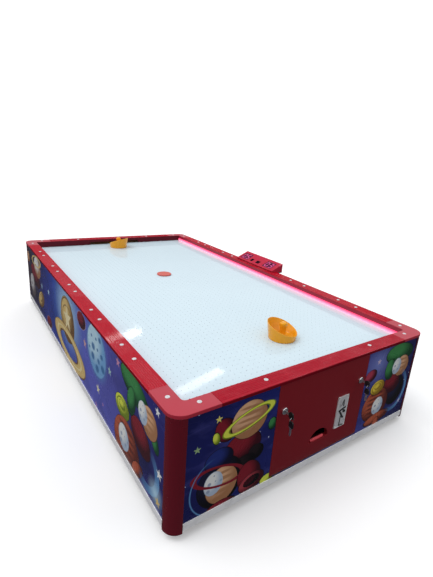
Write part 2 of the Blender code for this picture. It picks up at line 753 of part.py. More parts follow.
def barrel_profile():
    """Lock barrel and its nut behind the door, as (radius, y)."""
    face = -PANEL_OUT_Y
    inside = -PANEL_IN_Y
    bore = PLUG_R + 0.0004
    rim = LOCK_FLANGE_R - 0.0015
    nut = inside + LOCK_NUT_T
    back = inside + LOCK_BODY_BACK
    return [(bore, face - LOCK_FLANGE_T), (rim, face - LOCK_FLANGE_T),
            (LOCK_FLANGE_R, face - LOCK_FLANGE_T + 0.0015), (LOCK_FLANGE_R, face - GAP),
            (LOCK_BODY_R, face - GAP), (LOCK_BODY_R, inside + GAP),
            (LOCK_FLANGE_R, inside + GAP), (LOCK_FLANGE_R, nut),
            (LOCK_BODY_R, nut), (LOCK_BODY_R, back), (bore, back)]


def make_locks(pivot):
    """A barrel in the door each side; its key, plug and cam turn as one piece."""
    face = -PANEL_OUT_Y
    back = -PANEL_IN_Y + LOCK_BODY_BACK
    length, height, thick = KEY_BOW
    half_t, half_w = BLADE_HALF
    tip = face - KEY_REACH
    middle = tip + length / 2
    hole_y = tip + KEY_HOLE[0]
    hole_z = LOCK_Z - KEY_HOLE[1]
    cam_y = back + 0.0005
    plug_front = face - LOCK_FLANGE_T - 0.0005
    for side, sx in SIDES:
        x = sx * LOCK_X
        barrel = turned(barrel_profile(), 20, "Y", (x, 0, LOCK_Z), closed=True)
        add_object(f"lock_barrel_{side}", barrel, "chrome", parent=pivot)
        plug = rod(PLUG_R, "Y", (x, 0, LOCK_Z), plug_front, cam_y + CAM_T + 0.001)
        key = add_object(f"lock_key_{side}", plug, "black_plastic", origin=(x, face, LOCK_Z))
        blade = box((x - half_t, middle, LOCK_Z - half_w), (x + half_t, face, LOCK_Z + half_w))
        bow = prism(bow_outline(middle, LOCK_Z, length, height), "X", x - thick / 2, x + thick / 2)
        cam = box((x - CAM_HALF_W, cam_y, LOCK_Z - CAM_HALF_W),
                  (x + CAM_HALF_W, cam_y + CAM_T, LOCK_Z + CAM_REACH))
        weld(key, blade, "blade")
        weld(key, bow, "bow")
        weld(key, cam, "cam")
        hole = rod(KEY_HOLE_R, "X", (0, hole_y, hole_z), x - CUT_SPREAD, x + CUT_SPREAD, 12)
        cut(key, hole, "ring_hole")
        make_spare_key(side, x, hole_y, hole_z)


def make_spare_key(side, x, y, z):
    """Split ring through the key's head, with the spare key hanging on it."""
    half_t, half_w = BLADE_HALF
    half_thick = KEY_BOW[2] / 2
    ring = arc(RING_R, 0, RING_WIRE, 0, 300, 5)
    bm = turned(ring, 24, "Y", (x, y, z - RING_R), closed=True)
    spare = add_object(f"spare_key_{side}", bm, "steel", origin=(x, y, z))
    bow_top = z - 2 * RING_R + 0.003
    bow = bow_outline(y, bow_top - SPARE_BOW[1] / 2, *SPARE_BOW)
    weld(spare, prism(bow, "X", x - half_thick, x + half_thick), "bow")
    top = bow_top - SPARE_BOW[1] + half_w
    tip = top - SPARE_BLADE_H
    outline = [(y - half_w, top), (y + half_w, top), (y + half_w, tip + half_w), (y, tip),
               (y - half_w, tip + half_w)]
    weld(spare, prism(outline, "X", x - half_t, x + half_t), "blade")


def slot_span():
    """X and Z spans of the coin slot."""
    x, z = SLOT_XZ
    half_w, half_h = SLOT_SIZE[0] / 2, SLOT_SIZE[1] / 2
    return (x - half_w, x + half_w), (z - half_h, z + half_h)


def make_coin_plate(pivot):
    """Plate with the coin slot, the reject button and the return's hole; notched below."""
    x0, x1 = PLATE_X
    z0, z1 = PLATE_Z
    middle = (x0 + x1) / 2
    face = -PANEL_OUT_Y - GAP
    outline = [(x0, z0), (middle - NOTCH[0], z0), (middle, z0 + NOTCH[1]),
               (middle + NOTCH[0], z0), (x1, z0), (x1, z1), (x0, z1)]
    plate = add_object("coin_plate", prism(outline, "Y", face - PLATE_T, face), "steel",
                       parent=pivot)
    cut(plate, through_door(*slot_span(), 0), "coin_slot")
    spot = (BUTTON_XZ[0], 0, BUTTON_XZ[1])
    cut(plate, rod(BUTTON_R + 0.0006, "Y", spot, -CUT_OUT_Y, -CUT_IN_Y, 20), "button_hole")
    cut(plate, through_door(FLAP_X, FLAP_Z, FLAP_CLEARANCE), "return_hole")


def make_coin_mech(pivot):
    """Block behind the plate, hollowed for the coin, the button and the return cup."""
    front = -PANEL_OUT_Y + 0.0002
    low = (MECH_X[0], front, MECH_Z[0])
    high = (MECH_X[1], front + MECH_DEPTH, MECH_Z[1])
    mech = add_object("coin_mech", box(low, high), "black_plastic", parent=pivot)
    cut(mech, through_door(*slot_span(), 0, SLOT_DEEP_Y), "coin_path")
    spot = (BUTTON_XZ[0], 0, BUTTON_XZ[1])
    bore = rod(BUTTON_R + 0.0008, "Y", spot, -CUT_OUT_Y, -BUTTON_BORE_Y, 20)
    cut(mech, bore, "button_bore")
    cut(mech, through_door(FLAP_X, FLAP_Z, 1.5 * FLAP_CLEARANCE, CUP_BACK_Y), "return_cup")


def make_button_and_flap():
    x, z = BUTTON_XZ
    face, back = BUTTON_Y
    profile = [(0, -face), (BUTTON_R - 0.001, -face), (BUTTON_R, 0.001 - face),
               (BUTTON_R, -back), (0, -back)]
    add_object("reject_button", turned(profile, 20, "Y", (x, 0, z)), "black_plastic",
               origin=(x, -face, z))
    outer = -PANEL_OUT_Y - GAP - PLATE_T + 0.0004
    low = (FLAP_X[0], outer, FLAP_Z[0])
    high = (FLAP_X[1], outer + FLAP_T, FLAP_Z[1])
    hinge = ((FLAP_X[0] + FLAP_X[1]) / 2, outer + FLAP_T / 2, FLAP_Z[1] - 0.0015)
    add_object("return_flap", box(low, high), "chrome", origin=hinge)


def make_cash_box():
    low, high = CASH_BOX
    wall = CASH_BOX_WALL
    tin = add_object("cash_box", box(low, high), "steel")
    inner_low = [v + wall for v in low]
    inner_high = [high[0] - wall, high[1] - wall, high[2] + CUT_SPREAD]
    cut(tin, box(inner_low, inner_high), "hollow")


# ---------------------------------------------------------------- scoreboard

SCORE_SLOPE = math.atan2(SCORE_BACK[1] - SCORE_FRONT[1], SCORE_BACK[0] - SCORE_FRONT[0])
SCORE_FACE = math.hypot(SCORE_BACK[0] - SCORE_FRONT[0], SCORE_BACK[1] - SCORE_FRONT[1])


def face_box(along, up, depth):
    """A box on the sloped face: spans along the face from its far end, up it, and below it."""
    y_high, y_low = SCORE_Y[1], SCORE_Y[0]
    length = y_high - y_low
    low = (up[0] * SCORE_FACE, y_high - along[1] * length, -depth[1])
    high = (up[1] * SCORE_FACE, y_high - along[0] * length, -depth[0])
    bm = box(low, high)
    turn = Matrix.Rotation(-SCORE_SLOPE, 4, "Y")
    place = Matrix.Translation((SCORE_FRONT[0], 0, SCORE_FRONT[1]))
    bmesh.ops.transform(bm, matrix=place @ turn, verts=bm.verts)
    return bm


def housing_outline(wall):
    """Section of the scoreboard as (x, z), its walls moved in by wall.

    It stands on the rail and hangs down past the rail's outer edge, open below.
    """
    rise = math.tan(SCORE_SLOPE)
    drop = wall / math.cos(SCORE_SLOPE)
    seat = TOP_Z + GAP + wall
    foot = SCORE_FOOT_X + 2 * wall
    back = SCORE_BACK[0] - wall
    overhang = HALF_W + 0.003 + wall
    hem = SCORE_HEM_Z if wall == 0 else SCORE_HEM_Z - CUT_SPREAD
    if wall == 0:
        slope = [SCORE_FRONT, SCORE_BACK]
    else:
        slope = [(x, SCORE_FRONT[1] - drop + (x - SCORE_FRONT[0]) * rise) for x in (foot, back)]
    return [(foot, seat)] + slope + [(back, hem), (overhang, hem), (overhang, seat)]


def make_scoreboard():
    """Hollow housing on the rail, a lens behind its windows and a board of displays."""
    wall = SCORE_WALL
    housing = add_object("scoreboard_housing", prism(housing_outline(0), "Y", *SCORE_Y), "rail_red")
    hollow = prism(housing_outline(wall), "Y", SCORE_Y[0] + wall, SCORE_Y[1] - wall)
    cut(housing, hollow, "hollow")
    for name, (start, end, low, high) in SCORE_WINDOWS.items():
        window = face_box((start, end), (low, high), (-2 * wall, wall + 0.0002))
        cut(housing, window, f"window_{name}")

    lens = wall + GAP
    behind = lens + LENS_T
    board = behind + BOARD_DROP
    add_object("score_lens", face_box(SCORE_PLATE, LENS_UP, (lens, behind)), "lens_magenta")
    plate = face_box(SCORE_PLATE, BOARD_UP, (board, board + BOARD_T))
    plate = add_object("score_board", plate, "circuit_green")
    for name in ("home", "away"):
        start, end, low, high = SCORE_WINDOWS[name]
        display = face_box((start, end), (BOARD_UP[0] + 0.02, high),
                           (behind + GAP, board + BOARD_T / 2))
        weld(plate, display, f"display_{name}")


# ---------------------------------------------------------------- power inlet

def make_power_inlet():
    """Flanged mains inlet on the back end, with a rocker switch above its socket."""
    x, z = INLET_XZ
    face = PANEL_OUT_Y + GAP
    half_w, half_h = INLET_FLANGE[0] / 2, INLET_FLANGE[1] / 2
    flange = box((x - half_w, face, z - half_h), (x + half_w, face + INLET_T, z + half_h))
    inlet = add_object("power_inlet", flange, "black_plastic")
    half_w, half_h = INLET_BODY[0] / 2, INLET_BODY[1] / 2
    body = box((x - half_w, INLET_BACK_Y, z - half_h), (x + half_w, face + 0.001, z + half_h))
    weld(inlet, body, "body")
    floor_z, shoulder_z, roof_z = SOCKET_Z
    wide, narrow = SOCKET_HALF_W, SOCKET_HALF_W - 0.005
    socket = [(-wide, floor_z), (wide, floor_z), (wide, shoulder_z), (narrow, roof_z),
              (-narrow, roof_z), (-wide, shoulder_z)]
    socket = [(x + a, z + b) for a, b in socket]
    cut(inlet, prism(socket, "Y", SOCKET_BACK_Y, CUT_OUT_Y), "socket")
    half_w, half_h = ROCKER_WELL
    middle = z + ROCKER_Z
    well = box((x - half_w, SOCKET_BACK_Y + 0.002, middle - half_h),
               (x + half_w, CUT_OUT_Y, middle + half_h))
    cut(inlet, well, "rocker_well")


def make_power_switch():
    """Rocker with a hollowed face, at rest in its off position."""
    x, z = INLET_XZ
    axis_y = PANEL_OUT_Y + GAP - 0.0035
    axis_z = z + ROCKER_Z
    half = ROCKER_HALF_H
    section = [(ROCKER_LIP, half), (0.0050, 0.0), (ROCKER_LIP, -half), (-0.0040, -half / 2),
               (-0.0040, half / 2)]
    cosine, sine = math.cos(ROCKER_TILT), math.sin(ROCKER_TILT)
    tilted = [(axis_y + y * cosine - up * sine, axis_z + y * sine + up * cosine)
              for y, up in section]
    rocker = prism(tilted, "X", x - ROCKER_HALF_W, x + ROCKER_HALF_W)
    add_object("power_switch", rocker, "black_plastic", origin=(x, axis_y, axis_z))


# ---------------------------------------------------------------- loose pieces and feet

def mallet_rings(lean):
    """Rings from the sole up the wall, over the rim, down inside and up the knob.

    Each is a function from an angle to a radius and a height above the field.
    """
    def ring(radius, height):
        return lambda angle: (radius, height)

    def wall_ring(drop, inset):
        def point(angle):
            top = MALLET_RIM_MID + MALLET_RIM_RISE * math.cos(angle - lean) - drop
            return (MALLET_R + MALLET_FLARE * top - inset, top)
        return point

    foot = MALLET_R - MALLET_WALL - 0.002
    return [ring(MALLET_R - 0.0015, 0.0), ring(MALLET_R, 0.0015),
            wall_ring(0.0012, 0.0), wall_ring(0.0, 0.0012),
            wall_ring(0.0, MALLET_WALL - 0.0012), wall_ring(0.0012, MALLET_WALL),
            ring(foot, MALLET_FLOOR + 0.003), ring(foot - 0.003, MALLET_FLOOR),
            ring(KNOB_R - 0.001, MALLET_FLOOR), ring(KNOB_R - 0.004, MALLET_FLOOR + 0.012),
            ring(KNOB_R - 0.0035, KNOB_TOP - 0.024), ring(KNOB_R, KNOB_TOP - 0.016),
            ring(KNOB_R - 0.002, KNOB_TOP - 0.006), ring(KNOB_R - 0.008, KNOB_TOP - 0.001)]


def mallet_mesh(place, lean, segments=32):
    """Flared bowl with a slanted rim and a knob in its middle, standing on the field."""
    floor_z = FIELD_TOP + GAP
    bm = bmesh.new()
    loops = []
    for make in mallet_rings(lean):
        loop = []
        for k in range(segments):
            angle = 2 * math.pi * k / segments
            radius, height = make(angle)
            loop.append(bm.verts.new((place[0] + radius * math.cos(angle),
                                      place[1] + radius * math.sin(angle),
                                      floor_z + height)))
        loops.append(loop)
    for first, second in zip(loops, loops[1:]):
        for k in range(segments):
            n = (k + 1) % segments
            bm.faces.new((first[k], first[n], second[n], second[k]))
    bm.faces.new(loops[0][::-1])
    bm.faces.new(loops[-1])
    return bm


def make_loose_pieces():
    near = mallet_mesh(MALLET_NEAR, MALLET_LEAN)
    add_object("mallet_near", near, "mallet_yellow", origin=(*MALLET_NEAR, FIELD_TOP))
    far = mallet_mesh(MALLET_FAR, MALLET_LEAN + math.pi)
    add_object("mallet_far", far, "mallet_yellow", origin=(*MALLET_FAR, FIELD_TOP))
    low = FIELD_TOP + GAP
    high = low + PUCK_T
    profile = [(0, low), (PUCK_R - 0.001, low), (PUCK_R, low + 0.001), (PUCK_R, high - 0.001),
               (PUCK_R - 0.001, high), (0, high)]
    add_object("puck", turned(profile, 32, "Z", (*PUCK_XY, 0)), "puck_red",
               origin=(*PUCK_XY, FIELD_TOP))


def make_feet():
    """A pad on a stem that screws up through the bottom board, its collar just below it."""
    pad = -FOOT_HEIGHT
    collar = PANEL_LOW - 0.0005
    neck = FOOT_NECK_R
    profile = [(0, pad), (FOOT_PAD_R - 0.002, pad), (FOOT_PAD_R, pad + 0.002),
               (FOOT_PAD_R, pad + FOOT_PAD_T), (1.4 * neck, pad + FOOT_PAD_T + 0.005),
               (neck, pad + 2 * FOOT_PAD_T), (neck, collar), (FOOT_STEM_R, collar),
               (FOOT_STEM_R, FOOT_STEM_TOP), (0, FOOT_STEM_TOP)]
    for side, sx in SIDES:
        for end, sy in ENDS:
            spot = (sx * FOOT_XY[0], sy * FOOT_XY[1], 0)
            add_object(f"foot_{end}_{side}", turned(profile, 16, "Z", spot), "black_plastic",
                       origin=(spot[0], spot[1], pad))


def main():
    clear_scene()
    add_empty("cabinet_frame", CABINET_PLACE)
    door_pivot = add_pivot("door_pivot", (0, HINGE_Y, HINGE_Z))
    make_base()
    make_side_panels()
    make_end_panels()
    make_posts()
    make_trims()
    make_rails()
    make_caps()
    make_walls()
    make_field()
    make_plenum()
    make_blower()
    make_chutes()
    make_door(door_pivot)
    make_door_frame()
    make_hinge_rod()
    make_locks(door_pivot)
    make_coin_plate(door_pivot)
    make_coin_mech(door_pivot)
    make_button_and_flap()
    make_cash_box()
    make_scoreboard()
    make_power_inlet()
    make_power_switch()
    make_loose_pieces()
    make_feet()


main()
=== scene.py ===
"""Air hockey table: its looks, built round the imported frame.

Metres. Sizes that the CAD fixes are read from the frame. Other places are in the
cabinet's own frame, whose zero is the middle of the cabinet at the underside of its
corner posts; at() turns them into the frame's.
"""

import json
import math

import bmesh
import bpy
from mathutils import Matrix, Vector


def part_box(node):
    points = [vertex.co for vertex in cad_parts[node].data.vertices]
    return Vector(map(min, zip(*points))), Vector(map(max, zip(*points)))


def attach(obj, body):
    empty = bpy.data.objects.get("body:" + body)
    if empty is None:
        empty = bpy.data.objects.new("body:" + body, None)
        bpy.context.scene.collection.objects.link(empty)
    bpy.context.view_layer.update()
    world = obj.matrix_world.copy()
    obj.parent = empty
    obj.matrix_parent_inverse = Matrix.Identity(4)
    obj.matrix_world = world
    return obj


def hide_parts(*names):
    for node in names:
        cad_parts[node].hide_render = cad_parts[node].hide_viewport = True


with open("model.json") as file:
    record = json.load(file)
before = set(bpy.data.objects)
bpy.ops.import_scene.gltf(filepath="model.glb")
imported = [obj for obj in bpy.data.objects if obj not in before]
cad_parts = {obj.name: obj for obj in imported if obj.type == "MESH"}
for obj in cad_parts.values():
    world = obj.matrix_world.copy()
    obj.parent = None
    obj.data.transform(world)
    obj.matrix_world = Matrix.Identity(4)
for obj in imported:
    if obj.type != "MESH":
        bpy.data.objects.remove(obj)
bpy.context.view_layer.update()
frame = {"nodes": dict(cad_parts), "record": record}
NODES = frame["nodes"]
BODY_OF = {member: body for body, members in frame["record"]["behaviour"]["bodies"].items()
           for member in members}

# -------- sizes from the frame

ENDS = (("front", -1), ("back", 1))
SIDES = (("left", -1), ("right", 1))
SIDE_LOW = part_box("rail_left")[0]
SIDE_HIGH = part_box("rail_right")[1]
END_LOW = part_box("rail_front")[0]
END_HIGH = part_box("rail_back")[1]
ORIGIN = Vector(((SIDE_LOW.x + SIDE_HIGH.x) / 2, (END_LOW.y + END_HIGH.y) / 2,
                 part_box("corner_post_front_left")[0].z))
HALF_W = (SIDE_HIGH.x - SIDE_LOW.x) / 2
HALF_L = (END_HIGH.y - END_LOW.y) / 2


def at(x, y, z):
    """A place in the cabinet's own frame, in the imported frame."""
    return ORIGIN + Vector((x, y, z))


def local_box(node):
    """A CAD node's box in the cabinet's own frame."""
    low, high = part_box(node)
    return low - ORIGIN, high - ORIGIN


RAIL_TOP = SIDE_HIGH.z - ORIGIN.z
RAIL_W = local_box("rail_left")[1].x + HALF_W
FIELD_TOP = local_box("playfield")[1].z
WALL_IN_X = local_box("inner_wall_right")[0].x
WALL_IN_Y = local_box("inner_wall_back")[0].y
PANEL_X = -local_box("side_panel_left")[0].x
PANEL_Y = -local_box("end_panel_front")[0].y

# -------- camera, light, floor

CAMERA_PLACE = (-1.0000, -1.8437, 1.0493)
CAMERA_HEADING = math.radians(37.189)  # from +Y towards +X
CAMERA_TILT = math.radians(-17.496)
CAMERA_ROLL = math.radians(4.917)
CAMERA_LENS = 24.403  # mm, on a 36 mm sensor
CAMERA_SHIFT = (-0.0348, -0.0086)


def link(name, data):
    """A new object in the scene."""
    thing = bpy.data.objects.new(name, data)
    bpy.context.scene.collection.objects.link(thing)
    return thing


def make_camera():
    data = bpy.data.cameras.new("camera")
    data.sensor_width = 36
    data.lens = CAMERA_LENS
    data.shift_x, data.shift_y = CAMERA_SHIFT
    data.clip_end = 400
    camera = link("camera", data)
    turn = Matrix.Rotation(-CAMERA_HEADING, 4, "Z")
    turn @= Matrix.Rotation(math.pi / 2 + CAMERA_TILT, 4, "X")
    turn @= Matrix.Rotation(CAMERA_ROLL, 4, "Z")
    camera.matrix_world = Matrix.Translation(at(*CAMERA_PLACE)) @ turn
    bpy.context.scene.camera = camera


def make_strip(name, start, end, width, power):
    """A ceiling strip light from start to end, facing down."""
    data = bpy.data.lights.new(name, "AREA")
    data.energy = power
    data.shape = "RECTANGLE"
    data.size = (Vector(end) - Vector(start)).length
    data.size_y = width
    lamp = link(name, data)
    lamp.location = at(*[(a + b) / 2 for a, b in zip(start, end)])
    lamp.rotation_euler = (0, 0, math.atan2(end[1] - start[1], end[0] - start[0]))
    lamp.visible_camera = False


SKY = ((0.00, (0.08, 0.08, 0.09)), (0.49, (0.08, 0.08, 0.09)), (0.50, (0.14, 0.14, 0.15)),
       (0.58, (0.26, 0.26, 0.27)), (0.66, (0.95, 0.95, 0.96)), (0.76, (1.22, 1.22, 1.22)),
       (0.84, (0.78, 0.79, 0.81)), (1.00, (0.80, 0.82, 0.85)))
SUN_AIM = (0.75, -0.25, -1.30)


def make_light():
    """A pale sky over a dark ground, a broad soft sun and two ceiling strips."""
    world = bpy.data.worlds.new("studio")
    bpy.context.scene.world = world
    world.use_nodes = True
    g = Graph("studio", tree=world.node_tree)
    direction = g.node("ShaderNodeTexCoord").outputs["Generated"]
    height = g.math("MULTIPLY_ADD", g.split(direction)[2], 0.5, 0.5)
    g.put(g.tree.nodes["Background"].inputs["Color"], g.ramp(height, SKY))
    data = bpy.data.lights.new("sun", "SUN")
    data.energy = 1.0
    data.angle = math.radians(40)
    sun = link("sun", data)
    sun.rotation_mode = "QUATERNION"
    sun.rotation_quaternion = Vector(SUN_AIM).to_track_quat("-Z", "Y")
    make_strip("strip_near", (1.12, 2.00, 2.6), (1.95, 2.23, 2.6), 0.17, 3.4)
    make_strip("strip_far", (0.78, 3.67, 2.6), (1.42, 3.97, 2.6), 0.17, 5.6)


STAGE_R = 100.0
STAGE_H = 80.0


def make_stage():
    """A plain pale floor and a far white backdrop; neither lights the table."""
    bm = bmesh.new()
    bmesh.ops.create_circle(bm, cap_ends=True, segments=96, radius=STAGE_R)
    rim = [edge for edge in bm.edges if edge.is_boundary]
    for part in bmesh.ops.extrude_edge_only(bm, edges=rim)["geom"]:
        if isinstance(part, bmesh.types.BMVert):
            part.co.z = STAGE_H
    for face in bm.faces:
        face.material_index = int(len(face.verts) == 4)
    mesh = bpy.data.meshes.new("floor")
    bm.to_mesh(mesh)
    bm.free()
    floor = link("floor", mesh)
    floor.visible_diffuse = False
    floor.visible_glossy = False
    for name, emission in (("floor_paint", 0.12), ("backdrop_paint", 1.0)):
        mesh.materials.append(Graph(name, (0.93, 0.93, 0.93)).finish(
            0.9, Specular_IOR_Level=0.0, Emission_Color=(1, 1, 1), Emission_Strength=emission))


# -------- material graphs

def linear(colour):
    """A 0xRRGGBB screen colour as the linear values that nodes take; others as they are."""
    if not isinstance(colour, int):
        return colour
    screen = [(colour >> shift & 255) / 255 for shift in (16, 8, 0)]
    return tuple(v / 12.92 if v <= 0.04045 else ((v + 0.055) / 1.055) ** 2.4 for v in screen)


def shade(colour, share, lift=0.0):
    """A colour made darker or brighter, and lifted towards white."""
    return tuple(min(1.0, share * value + lift) for value in linear(colour))


def stretched(along, share):
    """A noise's stretch along one axis."""
    return tuple(share if k == along else 1.0 for k in range(3))


class Graph:
    """One material's nodes, written as calls on sockets, numbers and colours."""

    def __init__(self, name, paint=None, tree=None):
        self.paint = paint
        if tree:
            self.tree = tree
            return
        self.material = bpy.data.materials.new(name)
        self.material.use_nodes = True
        self.tree = self.material.node_tree
        self.shader = self.tree.nodes["Principled BSDF"]
        self.raw = self.node("ShaderNodeTexCoord").outputs["Object"]
        self.place = self.vector("SUBTRACT", self.raw, ORIGIN)

    def put(self, socket, value):
        if isinstance(value, bpy.types.NodeSocket):
            self.tree.links.new(value, socket)
        elif socket.type == "RGBA":
            socket.default_value = (*linear(value), 1.0)
        else:
            socket.default_value = value

    def node(self, kind, inputs=(), **settings):
        node = self.tree.nodes.new(kind)
        for key, value in settings.items():
            setattr(node, key, value)
        for key, value in dict(inputs).items():
            self.put(node.inputs[key], value)
        return node

    def math(self, operation, *values, clamp=False):
        node = self.node("ShaderNodeMath", operation=operation, use_clamp=clamp)
        for socket, value in zip(node.inputs, values):
            self.put(socket, value)
        return node.outputs[0]

    def vector(self, operation, *values):
        node = self.node("ShaderNodeVectorMath", operation=operation)
        for socket, value in zip(node.inputs, values):
            self.put(socket, value)
        scalar = operation in ("LENGTH", "DOT_PRODUCT", "DISTANCE")
        return node.outputs["Value" if scalar else "Vector"]

    def times(self, first, second, clamp=False):
        return self.math("MULTIPLY", first, second, clamp=clamp)

    def minus(self, first, second):
        return self.math("SUBTRACT", first, second)

    def dot(self, first, second):
        return self.vector("DOT_PRODUCT", first, second)

    def split(self, vector):
        node = self.node("ShaderNodeSeparateXYZ", {0: vector})
        return node.outputs["X"], node.outputs["Y"], node.outputs["Z"]

    def mix(self, share, first, second):
        node = self.node("ShaderNodeMix", data_type="RGBA")
        self.put(node.inputs[0], share)
        self.put(node.inputs[6], first)
        self.put(node.inputs[7], second)
        return node.outputs[2]

    def spread(self, value, low, high):
        """A 0 to 1 value stretched to run from low to high."""
        return self.math("MULTIPLY_ADD", value, high - low, low)

    def step(self, value, edge, soft):
        """0 below the edge and 1 above it, over a soft width."""
        return self.math("MULTIPLY_ADD", self.minus(value, edge), 1 / soft, 0.5, clamp=True)

    def ramp(self, value, stops):
        """The colour along a value; a stop is a position and a colour."""
        node = self.node("ShaderNodeValToRGB", {0: value})
        elements = node.color_ramp.elements
        while len(elements) < len(stops):
            elements.new(1.0)
        for element, (position, colour) in zip(elements, stops):
            element.position = position
            element.color = (*linear(colour), 1.0)
        return node.outputs["Color"]

    def noise(self, scale, detail=2.0, stretch=(1, 1, 1), turn=(0, 0, 0), distortion=0.0):
        place = self.raw
        if stretch != (1, 1, 1):
            inputs = {"Vector": place, "Scale": stretch, "Rotation": turn}
            place = self.node("ShaderNodeMapping", inputs).outputs[0]
        inputs = {"Vector": place, "Scale": scale, "Detail": detail, "Distortion": distortion}
        return self.node("ShaderNodeTexNoise", inputs).outputs[0]

    def edges(self, radius):
        """1 on the piece's sharp edges, 0 on its faces."""
        rounded = self.node("ShaderNodeBevel", {"Radius": radius}, samples=4).outputs[0]
        normal = self.node("ShaderNodeNewGeometry").outputs["Normal"]
        facing = self.dot(rounded, normal)
        return self.times(self.minus(1.0, facing), 4.0, clamp=True)

    def bump(self, *layers):
        """Bump from (height socket, depth in metres) layers, one over the other."""
        normal = None
        for height, depth in layers:
            inputs = {"Height": height, "Distance": depth, "Strength": 1.0}
            if normal is not None:
                inputs["Normal"] = normal
            normal = self.node("ShaderNodeBump", inputs).outputs[0]
        return normal

    def lay(self, share, colour):
        """Another colour over the paint."""
        self.paint = self.mix(share, self.paint, colour)

    def finish(self, roughness, *bumps, **inputs):
        """The material, from its paint, roughness, bump layers and other shader inputs."""
        if bumps:
            inputs["Normal"] = self.bump(*bumps)
        for key, value in {"Base_Color": self.paint, "Roughness": roughness, **inputs}.items():
            self.put(self.shader.inputs[key.replace("_", " ")], value)
        return self.material


def moulded(name, colour, roughness=0.35, coat=0.0, specular=0.25):
    """Moulded plastic: fine grain, slow colour drift, lighter rubbed edges and dull smears."""
    g = Graph(name, colour)
    drift = g.noise(7.0, 3.0)
    smear = g.noise(16.0, 4.0, distortion=0.6)
    g.lay(g.times(drift, 0.16), shade(colour, 0.75))
    lighter_edges = g.times(g.edges(0.0015), g.noise(60.0, 3.0))
    g.lay(g.times(lighter_edges, 0.4), shade(colour, 0.75, 0.18))
    return g.finish(g.spread(smear, roughness - 0.07, roughness + 0.10),
                    (g.noise(900.0, 2.0), 0.00003), (drift, 0.0002), Coat_Weight=coat,
                    Coat_Roughness=0.12, Specular_IOR_Level=specular)


def enamel(name, colour, along, coat=0.22):
    """Paint on an extrusion: orange peel, hairline scratches along it, edges lightened in patches
    as wear and painted highlight, and painted shade below its top.
    """
    g = Graph(name, colour)
    lines = g.noise(420.0, 3.0, stretched(along, 0.04))
    g.lay(g.times(g.noise(4.0, 2.0), 0.22), shade(colour, 0.70))
    g.lay(g.step(lines, 0.66, 0.10), shade(colour, 1.3, 0.01))
    # Edges and groove lips lightened to pale pink in patches: partly wear, partly painted
    # highlight
    lighter_edges = g.times(g.edges(0.0014), g.step(g.noise(6.0, 3.0), 0.50, 0.10))
    g.lay(g.times(lighter_edges, 0.9), 0xf0aab2)
    # Painted shade: below the top, the lip and sides are darkened to 0.42 of the paint
    above_lip_shade = g.step(g.split(g.place)[2], RAIL_TOP - 0.0032, 0.0008)
    g.lay(g.minus(1.0, above_lip_shade), shade(colour, 0.42))
    return g.finish(g.spread(g.noise(14.0, 4.0, distortion=0.5), 0.22, 0.42),
                    (g.noise(260.0, 1.0), 0.00004), (lines, 0.00003), Coat_Weight=coat,
                    Coat_Roughness=0.05, Specular_IOR_Level=0.0)


def brushed(name, colour, along, roughness=0.30):
    """Bare metal with a brushed grain along one axis, and grey stains."""
    g = Graph(name, colour)
    lines = g.noise(1100.0, 3.0, stretched(along, 0.02))
    stain = g.noise(22.0, 4.0, distortion=0.8)
    g.lay(g.times(lines, 0.35), shade(colour, 0.62))
    g.lay(g.times(g.step(stain, 0.60, 0.25), 0.30), shade(colour, 0.62))
    rough = g.spread(lines, roughness - 0.06, roughness + 0.08)
    return g.finish(g.math("ADD", rough, g.times(stain, 0.08)), (lines, 0.00004), Metallic=1.0)


def anodised(name, colour, along):
    """Bright anodised trim: a faint grain along it, grey marks and a satin sheen."""
    g = Graph(name, colour)
    lines = g.noise(700.0, 3.0, stretched(along, 0.02))
    marks = g.step(g.noise(26.0, 4.0, distortion=0.8), 0.60, 0.20)
    g.lay(g.times(lines, 0.20), shade(colour, 0.75))
    g.lay(g.times(marks, 0.25), shade(colour, 0.60))
    return g.finish(g.spread(lines, 0.28, 0.42), (lines, 0.00003))


def zinc(name, colour=0xe4e4e6):
    """Plated die-cast metal: pale, with dull spots and rubbed edges."""
    g = Graph(name, colour)
    cloud = g.noise(70.0, 4.0, distortion=0.8)
    g.lay(g.times(cloud, 0.40), shade(colour, 0.50))
    g.lay(g.times(g.step(g.noise(240.0, 3.0), 0.62, 0.10), 0.35), shade(colour, 0.50))
    g.lay(g.times(g.edges(0.0006), 0.6), 0xf2f2f4)
    return g.finish(g.spread(cloud, 0.22, 0.44), (cloud, 0.00006), Metallic=0.35)


def tray(name, colour, recess_shade, level):
    """Glossy plastic in its own colour on the tray's floor, with painted shade, near black, above
    that level.
    """
    g = Graph(name, colour)
    drift = g.noise(16.0, 3.0)
    g.lay(g.times(drift, 0.3), shade(colour, 0.7))
    # Painted shade: above the level the chute is darkened, as its recess is in shade
    g.lay(g.step(g.split(g.place)[2], level, 0.006), recess_shade)
    return g.finish(g.spread(drift, 0.30, 0.48), (g.noise(300.0, 2.0), 0.00005),
                    Specular_IOR_Level=0.3)


def key_metal(name, axis, low, high):
    """A key: steel, with a black plastic head between two places along an axis."""
    g = Graph(name)
    where = g.split(g.place)[axis]
    head = g.times(g.step(where, low, 0.0004), g.minus(1.0, g.step(where, high, 0.0004)))
    wear = g.noise(400.0, 3.0)
    g.paint = g.mix(wear, 0xceced0, 0x8c8c90)
    g.lay(g.times(g.edges(0.0004), 0.5), 0xececee)
    g.lay(head, g.mix(wear, 0x141416, 0x262628))
    return g.finish(g.spread(wear, 0.25, 0.45), (wear, 0.00004),
                    Metallic=g.minus(0.8, g.times(head, 0.8)))


def polished(name, colour=(0.80, 0.80, 0.82)):
    """Chrome with fingerprints and fine scratches."""
    g = Graph(name, colour)
    smear = g.noise(55.0, 5.0, distortion=1.2)
    g.lay(g.times(smear, 0.25), shade(colour, 0.7))
    return g.finish(g.spread(smear, 0.08, 0.26), (g.noise(700.0, 2.0, (1.0, 0.05, 0.3)), 0.00001),
                    Metallic=1.0)


